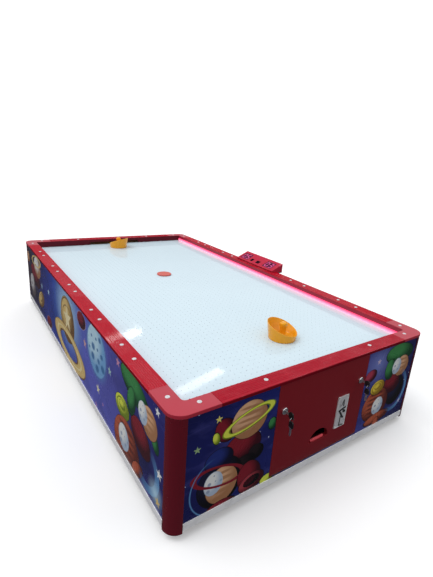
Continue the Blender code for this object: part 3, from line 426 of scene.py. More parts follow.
def board(name, colour=(0.46, 0.33, 0.20)):
    """Bare pressed board: chips of several browns, with a dull, rough face."""
    g = Graph(name, colour)
    chips = g.node("ShaderNodeTexVoronoi", {"Vector": g.place, "Scale": 260.0})
    tone = g.split(chips.outputs["Color"])[0]
    cloud = g.noise(5.0, 4.0)
    g.lay(g.times(tone, 0.55), shade(colour, 0.55))
    g.lay(g.times(cloud, 0.35), shade(colour, 1.3))
    return g.finish(g.spread(tone, 0.72, 0.90), (tone, 0.0002), (cloud, 0.0003),
                    Specular_IOR_Level=0.3)


def field_laminate(name):
    """Glossy blue-white laminate with arcs of fine puck scratches, a faint dust haze and painted
    shade inside the air holes.
    """
    g = Graph(name, 0xd2e4ec)
    haze = g.noise(2.2, 4.0, distortion=0.4)
    g.lay(g.times(haze, 0.55), 0xc5d8e1)
    g.lay(g.times(g.step(g.noise(240.0, 2.0), 0.60, 0.2), 0.20), 0xaab9c8)
    # Painted shade: the walls of the air holes, below the top face, are dark grey
    skin = g.step(g.split(g.place)[2], FIELD_TOP - 0.0006, 0.0004)
    g.lay(g.minus(1.0, skin), 0x343a3e)
    scratch = g.step(g.noise(85.0, 2.0, (1.0, 0.06, 1.0), distortion=0.3), 0.70, 0.05)
    return g.finish(g.math("ADD", g.spread(haze, 0.02, 0.08), g.times(scratch, 0.10)),
                    (g.noise(160.0, 2.0), 0.00002), (scratch, -0.00001), Specular_IOR_Level=0.14)


def glowing(name, colour, strength, upper=None, heights=(0.0, 1.0)):
    """Diffuser of a light: brighter over each diode, and of another colour higher up."""
    g = Graph(name, colour)
    _, along, height = g.split(g.place)
    beat = g.math("PINGPONG", g.times(along, 30.0), 0.5)
    glow = g.spread(g.times(beat, 2.0), 0.80, 1.0)
    rise = g.math("DIVIDE", g.minus(height, heights[0]), heights[1] - heights[0], clamp=True)
    g.lay(rise, upper or colour)
    glow = g.times(glow, g.spread(rise, 1.0, 0.55)) if upper else glow
    return g.finish(g.spread(g.noise(90.0), 0.35, 0.5), Emission_Color=g.paint,
                    Emission_Strength=g.times(glow, strength))


# -------- printed panels

PEACH, TAN = 0xe2b28a, 0xaa7854
CREAM, MILK, GREY = 0xeef0ee, 0xb2c2d6, 0x92a0ba
GOLD, BRONZE = 0xe2c480, 0x7a5830
LIME, OLIVE = 0xdee854, 0x768a22
GREEN, FOREST = 0x408c4e, 0x14482a
MAROON, WINE = 0x841e2c, 0x420c1a
RUST, BROWN = 0xba5c40, 0x60261e
ICE, AZURE, STEEL = 0xc4e6f8, 0x78acde, 0x3e70a8
OCEAN, SKY_BLUE, MIDNIGHT = 0x6094c8, 0x5c8ed8, 0x0e102e
INK = 0x0e0c12
# The colour of a round body's shaded side, for each colour of its lit side
SHADED = {PEACH: TAN, CREAM: MILK, GOLD: BRONZE, LIME: OLIVE, GREEN: FOREST, MAROON: WINE,
          RUST: BROWN, ICE: AZURE}


COLOUR, VECTOR, VALUE = "NodeSocketColor", "NodeSocketVector", "NodeSocketFloat"


def stamp(name, draw, **inputs):
    """A node group that draws one kind of shape over the paint under it."""
    tree = bpy.data.node_groups.new(name, "ShaderNodeTree")
    for label, kind in {"Paint": COLOUR, "Place": VECTOR, **inputs}.items():
        tree.interface.new_socket(label, in_out="INPUT", socket_type=kind)
    tree.interface.new_socket("Paint", in_out="OUTPUT", socket_type=COLOUR)
    g = Graph(name, tree=tree)
    given = list(g.node("NodeGroupInput").outputs)[:len(inputs) + 2]
    g.node("NodeGroupOutput", {"Paint": draw(g, *given)})
    return tree


def draw_blob(g, paint, place, light, dark, outline, line):
    """A round body, lighter up and to the left, with a thin outline."""
    lit = g.vector("DISTANCE", place, (-0.35, 0.40, 0.0))
    radius = g.vector("LENGTH", place)
    body = g.mix(g.step(lit, 0.80, 0.60), light, dark)
    body = g.mix(g.step(g.math("ADD", radius, line), 0.99, 0.03), body, outline)
    return g.mix(g.step(g.minus(1.0, radius), 0.01, 0.02), paint, body)


def draw_halo(g, paint, place, colour, core, power):
    """A glow, full inside the core and fading to nothing at the edge."""
    gap = g.minus(1.0, g.vector("LENGTH", place))
    share = g.math("DIVIDE", gap, g.minus(1.0, core), clamp=True)
    return g.mix(g.times(g.math("POWER", share, 1.4), power), paint, colour)


def draw_ring(g, paint, place, colour, inner, side, bias):
    """A band from inner to the edge, faded where side and bias say so."""
    middle = g.math("MULTIPLY_ADD", inner, 0.5, 0.5)
    off = g.math("ABSOLUTE", g.minus(g.vector("LENGTH", place), middle))
    band = g.times(g.minus(g.minus(1.0, middle), off), 30.0, clamp=True)
    share = g.math("ADD", g.dot(place, side), bias, clamp=True)
    return g.mix(g.times(band, share), paint, colour)


def draw_star(g, paint, place, colour):
    """A five-pointed star."""
    across, up, _ = g.split(place)
    angle = g.times(g.math("ARCTAN2", across, up), 2.5 / math.pi)
    point = g.math("MULTIPLY_ADD", g.math("PINGPONG", angle, 0.5), 0.95, 0.30)
    gap = g.minus(g.math("DIVIDE", 0.30, point), g.vector("LENGTH", place))
    return g.mix(g.step(gap, 0.0, 0.06), paint, colour)


STAMPS = {
    "blob": stamp("blob", draw_blob, Light=COLOUR, Dark=COLOUR, Outline=COLOUR, Line=VALUE),
    "halo": stamp("halo", draw_halo, Colour=COLOUR, Core=VALUE, Power=VALUE),
    "ring": stamp("ring", draw_ring, Colour=COLOUR, Inner=VALUE, Side=VECTOR, Bias=VALUE),
    "star": stamp("star", draw_star, Colour=COLOUR),
}


class Print(Graph):
    """A picture printed on a panel, built up from shapes in the panel's own plane.

    Shapes are placed by (along, up) in metres: along is seen from outside, from the
    middle of the cabinet, and up is from the underside of the corner posts.
    """

    def __init__(self, name, along, flip):
        super().__init__(name)
        axes = [(1.0, 0.0, 0.0), (0.0, 1.0, 0.0)]
        sign = -1.0 if flip else 1.0
        self.run = self.dot(self.place, tuple(sign * v for v in axes[along]))
        rise = self.dot(self.place, (0.0, 0.0, 1.0))
        across = self.dot(self.place, axes[1 - along])
        self.depth = self.math("ABSOLUTE", across)
        self.planes = {0: self.node("ShaderNodeCombineXYZ", {"X": self.run, "Y": rise}).outputs[0]}

    def plane(self, turn):
        """The panel's plane, turned by some degrees about the cabinet's middle."""
        if turn not in self.planes:
            angle = math.radians(turn)
            flat = self.planes[0]
            across = self.dot(flat, (math.cos(angle), math.sin(angle), 0.0))
            up = self.dot(flat, (-math.sin(angle), math.cos(angle), 0.0))
            node = self.node("ShaderNodeCombineXYZ", {"X": across, "Y": up})
            self.planes[turn] = node.outputs[0]
        return self.planes[turn]

    def local(self, centre, size, turn=0):
        """Coordinates in which an ellipse of that size is the unit circle."""
        angle = math.radians(turn)
        across = centre[0] * math.cos(angle) + centre[1] * math.sin(angle)
        up = centre[1] * math.cos(angle) - centre[0] * math.sin(angle)
        return self.vector("MULTIPLY_ADD", self.plane(turn), (1 / size[0], 1 / size[1], 0.0),
                           (-across / size[0], -up / size[1], 0.0))

    def stamp(self, kind, place, **inputs):
        node = self.node("ShaderNodeGroup", node_tree=STAMPS[kind])
        for key, value in {"Paint": self.paint, "Place": place, **inputs}.items():
            self.put(node.inputs[key], value)
        self.paint = node.outputs["Paint"]

    def blob(self, centre, size, light, turn=0, dark=None, outline=INK):
        self.stamp("blob", self.local(centre, size, turn), Light=light,
                   Dark=dark or SHADED[light], Outline=outline,
                   Line=min(0.12, 0.0018 / min(size)))

    def halo(self, centre, size, colour, core=0.0, power=1.0):
        self.stamp("halo", self.local(centre, size), Colour=colour, Core=core, Power=power)

    def ring(self, centre, size, colour, inner, turn=0, towards=None):
        """An elliptical ring; towards is the angle of the side that stays."""
        side, bias = (0.0, 0.0, 0.0), 1.0
        if towards is not None:
            angle = math.radians(towards)
            side, bias = (math.cos(angle), math.sin(angle), 0.0), 0.15
        self.stamp("ring", self.local(centre, size, turn), Colour=colour, Inner=inner,
                   Side=side, Bias=bias)

    def star(self, centre, size, colour, turn=0):
        self.stamp("star", self.local(centre, (size, size), turn), Colour=colour)

    def moon(self, centre, size, light, pit, count, dark=None):
        """A moon, with round craters set out in a spiral over it."""
        dark = dark or SHADED[light]
        self.blob(centre, size, light, dark=dark, outline=dark)
        for k in range(count):
            out = 0.82 * math.sqrt((k + 0.6) / count)
            angle = 2.4 * k + 0.6
            spot = (centre[0] + out * size[0] * math.cos(angle),
                    centre[1] + out * size[1] * math.sin(angle))
            share = 0.10 + 0.07 * (k * 5 % 3)
            self.halo(spot, (share * size[0], 0.8 * share * size[1]), pit, 0.6, 0.9)

    def saucer(self, centre, size, light, turn=0, dark=None):
        """A flying saucer seen from above: brim, groove and dome."""
        dark = dark or SHADED[light]
        self.blob(centre, size, light, turn, dark)
        self.ring(centre, (0.78 * size[0], 0.74 * size[1]), dark, 0.84, turn)
        dome = (centre[0], centre[1] + 0.12 * size[1])
        self.blob(dome, (0.46 * size[0], 0.42 * size[1]), light, turn, dark, outline=dark)

    def planet(self, centre, size, light, count=4):
        """A planet with soft cloud bands across it."""
        self.blob(centre, size, light)
        for k in range(count):
            up = (k + 0.5) / count * 1.6 - 0.8
            half = 0.94 * math.sqrt(1 - up * up)
            self.halo((centre[0], centre[1] + up * size[1]),
                      (half * size[0], (0.10 + 0.04 * (k % 2)) * size[1]), SHADED[light],
                      0.55, 0.85)

    def sky(self, stops, reach):
        """The ground colour from end to end, with drifting clouds and fine stars."""
        share = self.math("DIVIDE", self.math("ADD", self.run, reach), 2 * reach)
        self.paint = self.ramp(share, stops)
        cloud = self.noise(5.0, 5.0, distortion=0.8)
        streak = self.noise(4.0, 4.0, (2.5, 2.5, 6.0), (0.35, 0.35, 0.0))
        self.lay(self.times(self.step(cloud, 0.55, 0.30), 0.38), MIDNIGHT)
        self.lay(self.times(self.step(streak, 0.58, 0.20), 0.25), 0x6060b0)
        cells = self.node("ShaderNodeTexVoronoi", {"Vector": self.raw, "Scale": 30.0})
        size = self.node("ShaderNodeSeparateColor", {0: cells.outputs["Color"]}).outputs[0]
        reach = self.spread(size, 0.02, 0.11)
        dots = self.step(self.minus(reach, cells.outputs["Distance"]), 0.0, 0.03)
        self.lay(self.times(dots, self.step(size, 0.40, 0.1)), 0xced6f0)

    def close(self, outer):
        """Film over the print; plain board shows on the panel's inner half."""
        inside = self.step(self.minus(outer, self.depth), 0.0035, 0.0005)
        rough = self.spread(self.noise(9.0, 4.0, distortion=0.6), 0.19, 0.36)
        self.lay(inside, self.mix(self.noise(300.0, 3.0), 0x967654, 0x684e34))
        return self.finish(self.mix(inside, rough, (0.8, 0.8, 0.8)),
                           (self.noise(45.0, 2.0), 0.00010), Specular_IOR_Level=0.22)


# Each star's centre, size and colour
SIDE_STARS = (
    ((-0.412, 0.261), 0.022, ICE), ((-0.6, 0.238), 0.02, ICE),
    ((0.293, 0.262), 0.024, 0xd6aaaa), ((0.605, 0.292), 0.02, 0xaacece),
    ((0.4615, 0.138), 0.024, 0xe6e2c4), ((0.43, 0.046), 0.018, 0xaa82be),
    ((0.692, 0.372), 0.02, 0xd296b4), ((0.52, 0.1), 0.012, 0xaa82be),
    ((1.023, 0.173), 0.02, CREAM), ((1.017, 0.067), 0.019, GOLD), ((1.004, 0.372), 0.017, CREAM),
)
END_STARS = (
    ((-0.452, 0.356), 0.013, 0xe2d66e), ((-0.518, 0.279), 0.013, 0x96b282),
    ((0.3, 0.344), 0.014, 0xcebed6), ((0.515, 0.1), 0.013, 0xbebee0),
    ((0.15, 0.12), 0.02, GOLD), ((-0.15, 0.3), 0.022, CREAM),
)


def side_print():
    """The long panels: from the far end, moons, a ringed golden planet, a blue moon, planets."""
    p = Print("side_print", 1, True)
    p.sky([(0.0, 0x3a2d36), (0.14, 0x302840), (0.24, 0x242e82), (0.4, 0x2a48b4), (0.6, 0x646ace),
           (0.8, 0x5c5ebc), (0.92, 0x32328a), (1.0, 0x26246c)], HALF_L)
    p.halo((0.0, 0.29), (0.36, 0.27), SKY_BLUE, 0.1, 0.95)
    p.halo((0.0, 0.29), (0.26, 0.2), ICE, 0.2, 0.9)
    # Far end: a maroon planet, two pale moons and a tilted yellow saucer
    p.blob((-0.8, 0.245), (0.15, 0.062), MAROON, -8)
    p.moon((-0.72, 0.32), (0.1, 0.066), CREAM, 0xaa8c78, 7, dark=TAN)
    p.ring((-0.745, 0.352), (0.15, 0.036), GOLD, 0.74, 6)
    p.moon((-0.915, 0.15), (0.085, 0.08), 0xc8c6c8, 0x786e70, 7, dark=0x605456)
    p.blob((-1.02, 0.32), (0.045, 0.038), PEACH)
    p.saucer((-0.645, 0.138), (0.098, 0.05), GOLD, 24)
    p.blob((-0.435, 0.072), (0.066, 0.036), MAROON, 8, outline=0xc49696)
    # Middle: the golden planet and its ring
    p.blob((0.0, 0.255), (0.128, 0.118), GOLD)
    for k in range(4):
        p.ring((0.0, 0.255), (0.124 - 0.028 * k, 0.114 - 0.040 * k), BRONZE, 0.9, 4 * k)
    p.ring((0.0, 0.118), (0.292, 0.092), BRONZE, 0.5, -3)
    p.ring((0.0, 0.12), (0.284, 0.086), GOLD, 0.58, -3)
    p.ring((0.0, 0.12), (0.232, 0.066), 0xf6e4ac, 0.88, -3)
    p.star((0.0, 0.262), 0.07, 0xfaecbe, 6)
    # Red planet and blue moon
    p.blob((0.25, 0.35), (0.068, 0.04), MAROON, 5, outline=0xceb4cc)
    p.halo((0.449, 0.3), (0.15, 0.14), OCEAN, 0.62, 0.9)
    p.moon((0.449, 0.3), (0.114, 0.108), ICE, STEEL, 11)
    # Near end: a green cloud, banded planets with pale moons, a saucer and a comet
    p.halo((0.885, 0.165), (0.2, 0.19), MIDNIGHT, 0.3, 0.7)
    p.blob((0.886, 0.205), (0.082, 0.056), MAROON, -20)
    p.blob((0.835, 0.35), (0.12, 0.05), GREEN, -12)
    p.blob((0.812, 0.292), (0.036, 0.056), GREEN, -12)
    p.blob((0.99, 0.262), (0.024, 0.04), GREEN, 30)
    p.planet((0.95, 0.3), (0.058, 0.054), PEACH)
    p.moon((0.902, 0.306), (0.034, 0.04), CREAM, GREY, 6)
    p.saucer((0.73, 0.222), (0.066, 0.044), LIME)
    p.planet((0.765, 0.085), (0.118, 0.106), RUST, 6)
    p.moon((0.742, 0.106), (0.048, 0.052), CREAM, GREY, 6)
    p.blob((0.862, 0.064), (0.052, 0.028), RUST, 30)
    p.ring((0.93, 0.135), (0.098, 0.092), OCEAN, 0.66, towards=-30)
    p.halo((1.000, 0.086), (0.06, 0.06), ICE, 0.05, 0.8)
    for star in SIDE_STARS:
        p.star(*star)
    return p.close(PANEL_X)


def end_print():
    """The end panels: planets, moons and clouds on both sides of the door."""
    p = Print("end_print", 0, False)
    p.sky([(0.0, 0x1a1e5c), (0.3, 0x1e2670), (0.7, 0x3e4496), (0.85, 0x282c74), (1.0, 0x18184a)],
          HALF_W)
    # Left: a ringed planet over maroon clouds, and another with a moon and a ring
    p.blob((-0.354, 0.223), (0.072, 0.056), MAROON)
    p.blob((-0.425, 0.31), (0.036, 0.046), MAROON, 30)
    p.blob((-0.456, 0.292), (0.014, 0.023), LIME, 12)
    p.blob((-0.3, 0.182), (0.032, 0.03), 0x241a1e, dark=INK)
    p.blob((-0.352, 0.158), (0.052, 0.028), 0x241a1e, 12, dark=INK)
    p.planet((-0.3376, 0.315), (0.07, 0.068), PEACH, 5)
    p.ring((-0.3376, 0.317), (0.104, 0.034), OLIVE, 0.7, 16)
    p.ring((-0.3376, 0.318), (0.1, 0.031), LIME, 0.78, 16)
    p.blob((-0.242, 0.265), (0.018, 0.024), GREEN)
    p.blob((-0.43, 0.126), (0.084, 0.092), 0x1c1e3a, dark=INK)
    p.blob((-0.44, 0.212), (0.052, 0.042), 0x24327a, dark=MIDNIGHT)
    p.planet((-0.424, 0.114), (0.06, 0.07), PEACH, 5)
    p.moon((-0.455, 0.132), (0.034, 0.044), CREAM, GREY, 6)
    p.ring((-0.436, 0.15), (0.104, 0.04), MAROON, 0.76, -14)
    p.ring((-0.44, 0.12), (0.098, 0.108), OCEAN, 0.93, towards=195)
    p.blob((-0.42, 0.034), (0.056, 0.02), MAROON)
    p.blob((-0.318, 0.096), (0.048, 0.062), MAROON, 10)
    p.blob((-0.305, 0.066), (0.054, 0.036), 0xa43e48, 14, dark=WINE)
    p.blob((-0.305, 0.07), (0.034, 0.019), WINE, 14, dark=INK)
    p.blob((-0.238, 0.044), (0.032, 0.021), LIME, 8)
    # Right: a green cloud, banded planets with pale moons, a yellow saucer and a comet
    p.halo((0.3, 0.335), (0.13, 0.12), 0x7e8ad0, 0.05, 0.9)
    p.blob((0.262, 0.29), (0.038, 0.028), 0xb03c54, 14, dark=WINE)
    p.blob((0.458, 0.172), (0.064, 0.074), 0x1e2246, dark=INK)
    p.blob((0.425, 0.214), (0.06, 0.048), MAROON, -12)
    p.blob((0.44, 0.35), (0.098, 0.046), GREEN, -4)
    p.blob((0.39, 0.286), (0.034, 0.05), GREEN, 8)
    p.planet((0.474, 0.284), (0.05, 0.05), PEACH)
    p.moon((0.436, 0.29), (0.03, 0.038), CREAM, GREY, 6)
    p.planet((0.332, 0.138), (0.086, 0.08), RUST, 6)
    p.moon((0.35, 0.128), (0.036, 0.042), CREAM, GREY, 6)
    p.blob((0.362, 0.066), (0.088, 0.026), RUST, 6)
    p.blob((0.364, 0.04), (0.024, 0.03), RUST)
    p.saucer((0.325, 0.222), (0.047, 0.034), 0xf0d64a, 6, dark=0x96761e)
    p.ring((0.462, 0.168), (0.084, 0.104), OCEAN, 0.78, towards=-25)
    # Between them, where only the back end shows it: a large moon
    p.moon((0.0, 0.25), (0.12, 0.118), ICE, STEEL, 13)
    for star in END_STARS:
        p.star(*star)
    return p.close(PANEL_Y)


# -------- pieces

def place_mesh(name, bm, material, node, sharp=30):
    """A new piece from a bmesh in the cabinet's own frame, riding with a CAD node."""
    bmesh.ops.translate(bm, verts=bm.verts, vec=ORIGIN)
    bmesh.ops.recalc_face_normals(bm, faces=bm.faces)
    mesh = bpy.data.meshes.new(name)
    bm.to_mesh(mesh)
    bm.free()
    mesh.materials.append(material)
    mesh.shade_smooth()
    mesh.set_sharp_from_angle(angle=math.radians(sharp))
    piece = link(name, mesh)
    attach(piece, BODY_OF[node])
    return piece


def soften(piece, width, segments=2):
    """Rounds a piece's edges."""
    bevel = piece.modifiers.new("soften", "BEVEL")
    bevel.width = width
    bevel.segments = segments
    bevel.limit_method = "ANGLE"
    bevel.angle_limit = math.radians(35)
    bevel.harden_normals = True
    bevel.use_clamp_overlap = True


def refine(node, material, bevel, segments=2):
    """A copy of a CAD node with rounded edges, shown in its place."""
    bm = bmesh.new()
    bm.from_mesh(NODES[node].data)
    bmesh.ops.remove_doubles(bm, verts=bm.verts, dist=0.000005)
    bmesh.ops.dissolve_limit(bm, angle_limit=math.radians(1), verts=bm.verts, edges=bm.edges)
    bmesh.ops.translate(bm, verts=bm.verts, vec=-ORIGIN)
    piece = place_mesh(f"{node}_skin", bm, material, node)
    soften(piece, bevel, segments)
    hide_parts(node)
    return piece


def dress(material, *nodes):
    """Gives CAD nodes, shown as they are, their material."""
    for node in nodes:
        data = NODES[node].data
        data.materials.clear()
        data.materials.append(material)


def loop_at(bm, base, outline, height):
    """An outline's vertices in a base frame, at a height along its Z."""
    return [bm.verts.new(base @ Vector((x, y, height))) for x, y in outline]


def bridge(bm, lower, upper):
    """Faces between two closed loops of vertices."""
    for k in range(len(lower)):
        after = (k + 1) % len(lower)
        bm.faces.new((lower[k], lower[after], upper[after], upper[k]))


def prism(bm, base, outline, low, high):
    """A flat outline in a base frame, raised from low to high along its Z."""
    under = loop_at(bm, base, outline, low)
    over = loop_at(bm, base, outline, high)
    bm.faces.new(over)
    bm.faces.new(under[::-1])
    bridge(bm, under, over)


def circle(radius, steps):
    """The outline of a regular polygon that stands for a circle."""
    angles = [2 * math.pi * k / steps for k in range(steps)]
    return [(radius * math.cos(angle), radius * math.sin(angle)) for angle in angles]


def oblong(low, high, radius, steps=4):
    """The outline of a rectangle with rounded corners."""
    x0, y0, x1, y1 = low[0] + radius, low[1] + radius, high[0] - radius, high[1] - radius
    outline = []
    for k, (x, y) in enumerate(((x1, y1), (x0, y1), (x0, y0), (x1, y0))):
        for step in range(steps + 1):
            angle = math.pi / 2 * (k + step / steps)
            outline.append((x + radius * math.cos(angle), y + radius * math.sin(angle)))
    return outline


def band(points, width):
    """The outline of a bent band of even width through some points."""
    left, right = [], []
    for k, point in enumerate(points):
        spot = Vector(point)
        before = spot - Vector(points[k - 1]) if k else None
        after = Vector(points[k + 1]) - spot if k + 1 < len(points) else None
        first = (before or after).normalized()
        second = (after or before).normalized()
        across = (first + second).normalized().orthogonal()
        reach = width / 2 / max(0.3, abs(across.dot(first.orthogonal())))
        left.append(tuple(spot + across * reach))
        right.append(tuple(spot - across * reach))
    return left + right[::-1]


def facing_out(x, y, z, normal, up=(0, 0, 1)):
    """A base frame on a face: its X runs to the right, its Y up, its Z outwards."""
    out = Vector(normal).normalized()
    across = Vector(up).cross(out).normalized()
    turn = Matrix((across, out.cross(across), out)).transposed().to_4x4()
    return Matrix.Translation((x, y, z)) @ turn


def facing_front(y):
    """A base frame on a face that looks to the front, in which places are (x, z)."""
    return facing_out(0, y, 0, (0, -1, 0))


GROOVES = 6
GROOVE_FIRST = 0.0117  # the first groove's middle, from the rail's outer edge
GROOVE_PITCH = 0.0072
GROOVE_HALF, GROOVE_DEEP = 0.0016, 0.0011
GROOVE_STEPS = 8
RAIL_THICK, RAIL_LIP = 0.0035, 0.003


def rail_section():
    """A rail's section, as (distance inwards from its outer edge, z), with hollow grooves."""
    radius = (GROOVE_HALF ** 2 + GROOVE_DEEP ** 2) / (2 * GROOVE_DEEP)
    reach = math.asin(GROOVE_HALF / radius)
    low, under = local_box("rail_left")[0].z, RAIL_TOP - RAIL_THICK
    points = [(0.0, low), (0.0, RAIL_TOP)]
    for k in range(GROOVES):
        middle = GROOVE_FIRST + k * GROOVE_PITCH
        for step in range(GROOVE_STEPS + 1):
            angle = reach * (2 * step / GROOVE_STEPS - 1)
            points.append((middle + radius * math.sin(angle),
                           RAIL_TOP + radius * (math.cos(reach) - math.cos(angle))))
    points += [(RAIL_W, RAIL_TOP), (RAIL_W, under), (RAIL_LIP, under), (RAIL_LIP, low)]
    return points


def make_rail(node, sign, along, material):
    """A grooved rail in place of its CAD node, running along one axis."""
    low, high = local_box(node)
    edge = HALF_W if along == 1 else HALF_L
    outline = [(sign * (edge - inwards), z) for inwards, z in rail_section()]
    bm = bmesh.new()
    if along == 1:
        prism(bm, facing_front(low.y), outline, low.y - high.y, 0.0)
    else:
        prism(bm, facing_out(high.x, 0, 0, (1, 0, 0)), outline, low.x - high.x, 0.0)
    piece = place_mesh(f"{node}_skin", bm, material, node)
    soften(piece, 0.0004)
    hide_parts(node)


AIR_HOLE_PITCH = 0.025
AIR_HOLE_R = 0.0015
AIR_HOLE_CLEAR = 0.01  # no hole is nearer to a wall


def make_field(material):
    """The playing surface, drilled right through with rows of air holes."""
    low, high = local_box("playfield")
    across, along = [int(2 * (reach - AIR_HOLE_CLEAR) / AIR_HOLE_PITCH)
                     for reach in (WALL_IN_X, WALL_IN_Y)]
    bm = bmesh.new()
    grid = {}
    for i in range(across + 1):
        for j in range(along + 1):
            grid[i, j] = bm.verts.new(((i - across / 2) * AIR_HOLE_PITCH,
                                       (j - along / 2) * AIR_HOLE_PITCH, low.z))
    for i in range(across):
        for j in range(along):
            square = (grid[i + 1, j + 1], grid[i, j + 1], grid[i, j], grid[i + 1, j])
            middle = Matrix.Translation((square[0].co + square[2].co) / 2)
            ring = loop_at(bm, middle, circle(AIR_HOLE_R, 8), 0.0)
            for k in range(4):
                bm.faces.new((square[k], square[(k + 1) % 4], ring[(2 * k + 3) % 8],
                              ring[(2 * k + 2) % 8], ring[2 * k + 1]))
    corners = ((low.x, low.y), (high.x, low.y), (high.x, high.y), (low.x, high.y))
    rim = loop_at(bm, Matrix(), corners, low.z)
    edges = ([grid[i, 0] for i in range(across + 1)], [grid[across, j] for j in range(along + 1)],
             [grid[i, along] for i in range(across, -1, -1)],
             [grid[0, j] for j in range(along, -1, -1)])
    for k, edge in enumerate(edges):
        bm.faces.new((rim[k], rim[(k + 1) % 4], *edge[::-1]))
    raised = bmesh.ops.extrude_face_region(bm, geom=bm.faces[:], use_keep_orig=True)["geom"]
    top = [part for part in raised if isinstance(part, bmesh.types.BMVert)]
    bmesh.ops.translate(bm, verts=top, vec=(0, 0, high.z - low.z))
    piece = place_mesh("playfield_drilled", bm, material, "playfield")
    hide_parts("playfield")


SCREW_R = 0.0074
SCREW_PROFILE = ((1.0, 0.0), (1.0, 0.0004), (0.94, 0.0011), (0.78, 0.0017), (0.52, 0.0020))
SCREW_STEPS = 24
CROSS_ARM, CROSS_HALF, CROSS_DEPTH = 0.0028, 0.0006, 0.0012


def screw_head(bm, base, size=SCREW_R, turn=0.0):
    """A pan-head screw with a cross recess, standing on a base frame."""
    base = base @ Matrix.Rotation(turn, 4, "Z")
    share = size / SCREW_R
    loops = [loop_at(bm, base, circle(size * radius, SCREW_STEPS), share * height)
             for radius, height in SCREW_PROFILE]
    for lower, upper in zip(loops, loops[1:]):
        bridge(bm, lower, upper)
    bm.faces.new(loops[0][::-1])
    arm, half, top = share * CROSS_ARM, share * CROSS_HALF, share * SCREW_PROFILE[-1][1]
    corner = [(arm, -half), (arm, half), (half, half)]
    shape = []
    for _ in range(4):
        shape += corner
        corner = [(-y, x) for x, y in corner]
    rim = loop_at(bm, base, shape, top)
    floor = loop_at(bm, base, [(0.7 * x, 0.7 * y) for x, y in shape], top - share * CROSS_DEPTH)
    bridge(bm, rim, floor)
    bm.faces.new(floor)
    edges = [bm.edges.get((ring[k], ring[k - 1])) for ring in (loops[-1], rim)
             for k in range(len(ring))]
    bmesh.ops.triangle_fill(bm, use_beauty=True, use_dissolve=False, edges=edges)


RAIL_SCREW_X = 0.566
RAIL_SCREW_Y = (-0.760, -0.648, -0.405, -0.295, -0.047, 0.061, 0.300, 0.412, 0.657, 0.761)
END_SCREW_X = 0.261
END_SCREW_Y = 1.063
CAP_SCREWS = ((0.566, 1.001), (0.500, 1.063))
DOOR_SCREW = (-0.2385, 0.388)


def make_screws(metal, dark):
    """Screw heads along the rails and on the corner caps, and a small one over the door."""
    board_low, board_high = local_box("scoreboard_housing")
    groups = {}
    for side, sign in SIDES:
        clear = [y for y in RAIL_SCREW_Y
                 if side == "left" or not board_low.y - 0.01 < y < board_high.y + 0.01]
        groups[f"rail_{side}"] = [(sign * RAIL_SCREW_X, y) for y in clear]
    for end, sign in ENDS:
        groups[f"rail_{end}"] = [(x, sign * END_SCREW_Y) for x in (-END_SCREW_X, END_SCREW_X)]
        for side, turn in SIDES:
            groups[f"corner_cap_{end}_{side}"] = [(turn * x, sign * y) for x, y in CAP_SCREWS]
    for node, places in groups.items():
        bm = bmesh.new()
        for k, (x, y) in enumerate(places):
            screw_head(bm, Matrix.Translation((x, y, RAIL_TOP)), turn=1.9 * k + 7.0 * x)
        place_mesh(f"screws_{node}", bm, metal, node)
    bm = bmesh.new()
    screw_head(bm, facing_front(-PANEL_Y) @ Matrix.Translation((*DOOR_SCREW, 0)), 0.0030, 0.4)
    place_mesh("screw_over_door", bm, dark, "end_panel_front")


# Which of a digit's seven bars are lit: top, upper left, upper right, middle, lower left,
# lower right, bottom
SEGMENTS = {"0": (1, 1, 1, 0, 1, 1, 1), "3": (1, 0, 1, 1, 0, 1, 1), "5": (1, 1, 0, 1, 0, 1, 1),
            "4": (0, 1, 1, 1, 0, 1, 0), "2": (1, 0, 1, 1, 1, 0, 1)}
SCORE_LOW_Z = 0.418  # the sloped face's lower edge
# Each window: where it starts and ends along the face, then up the face, and what it shows
DISPLAYS = {
    "home": (0.050, 0.265, 0.15, 0.78, "05"),
    "minute": (0.325, 0.390, 0.18, 0.46, "2"),
    "second": (0.478, 0.573, 0.18, 0.46, "40"),
    "away": (0.680, 0.905, 0.15, 0.78, "03"),
}
DISPLAY_GAP = 0.0004  # round a plate, inside its window
DISPLAY_TOP = -0.0016  # display plates lie this far under the sloped face


def bars(low, high, bar):
    """The outlines of a digit's seven bars inside a box, in the order that SEGMENTS has."""
    half, gap = bar / 2, 0.12 * bar
    left, right = low[0] + half, high[0] - half
    bottom, middle, top = low[1] + half, (low[1] + high[1]) / 2, high[1] - half
    ends = (((left, top), (right, top)), ((left, middle), (left, top)),
            ((right, middle), (right, top)), ((left, middle), (right, middle)),
            ((left, bottom), (left, middle)), ((right, bottom), (right, middle)),
            ((left, bottom), (right, bottom)))
    outlines = []
    for start, end in ends:
        ahead = (Vector(end) - Vector(start)).normalized()
        aside = ahead.orthogonal()
        start, end = Vector(start) + gap * ahead, Vector(end) - gap * ahead
        outlines.append((start, start + half * (ahead - aside), end - half * (ahead + aside),
                         end, end - half * (ahead - aside), start + half * (ahead + aside)))
    return outlines


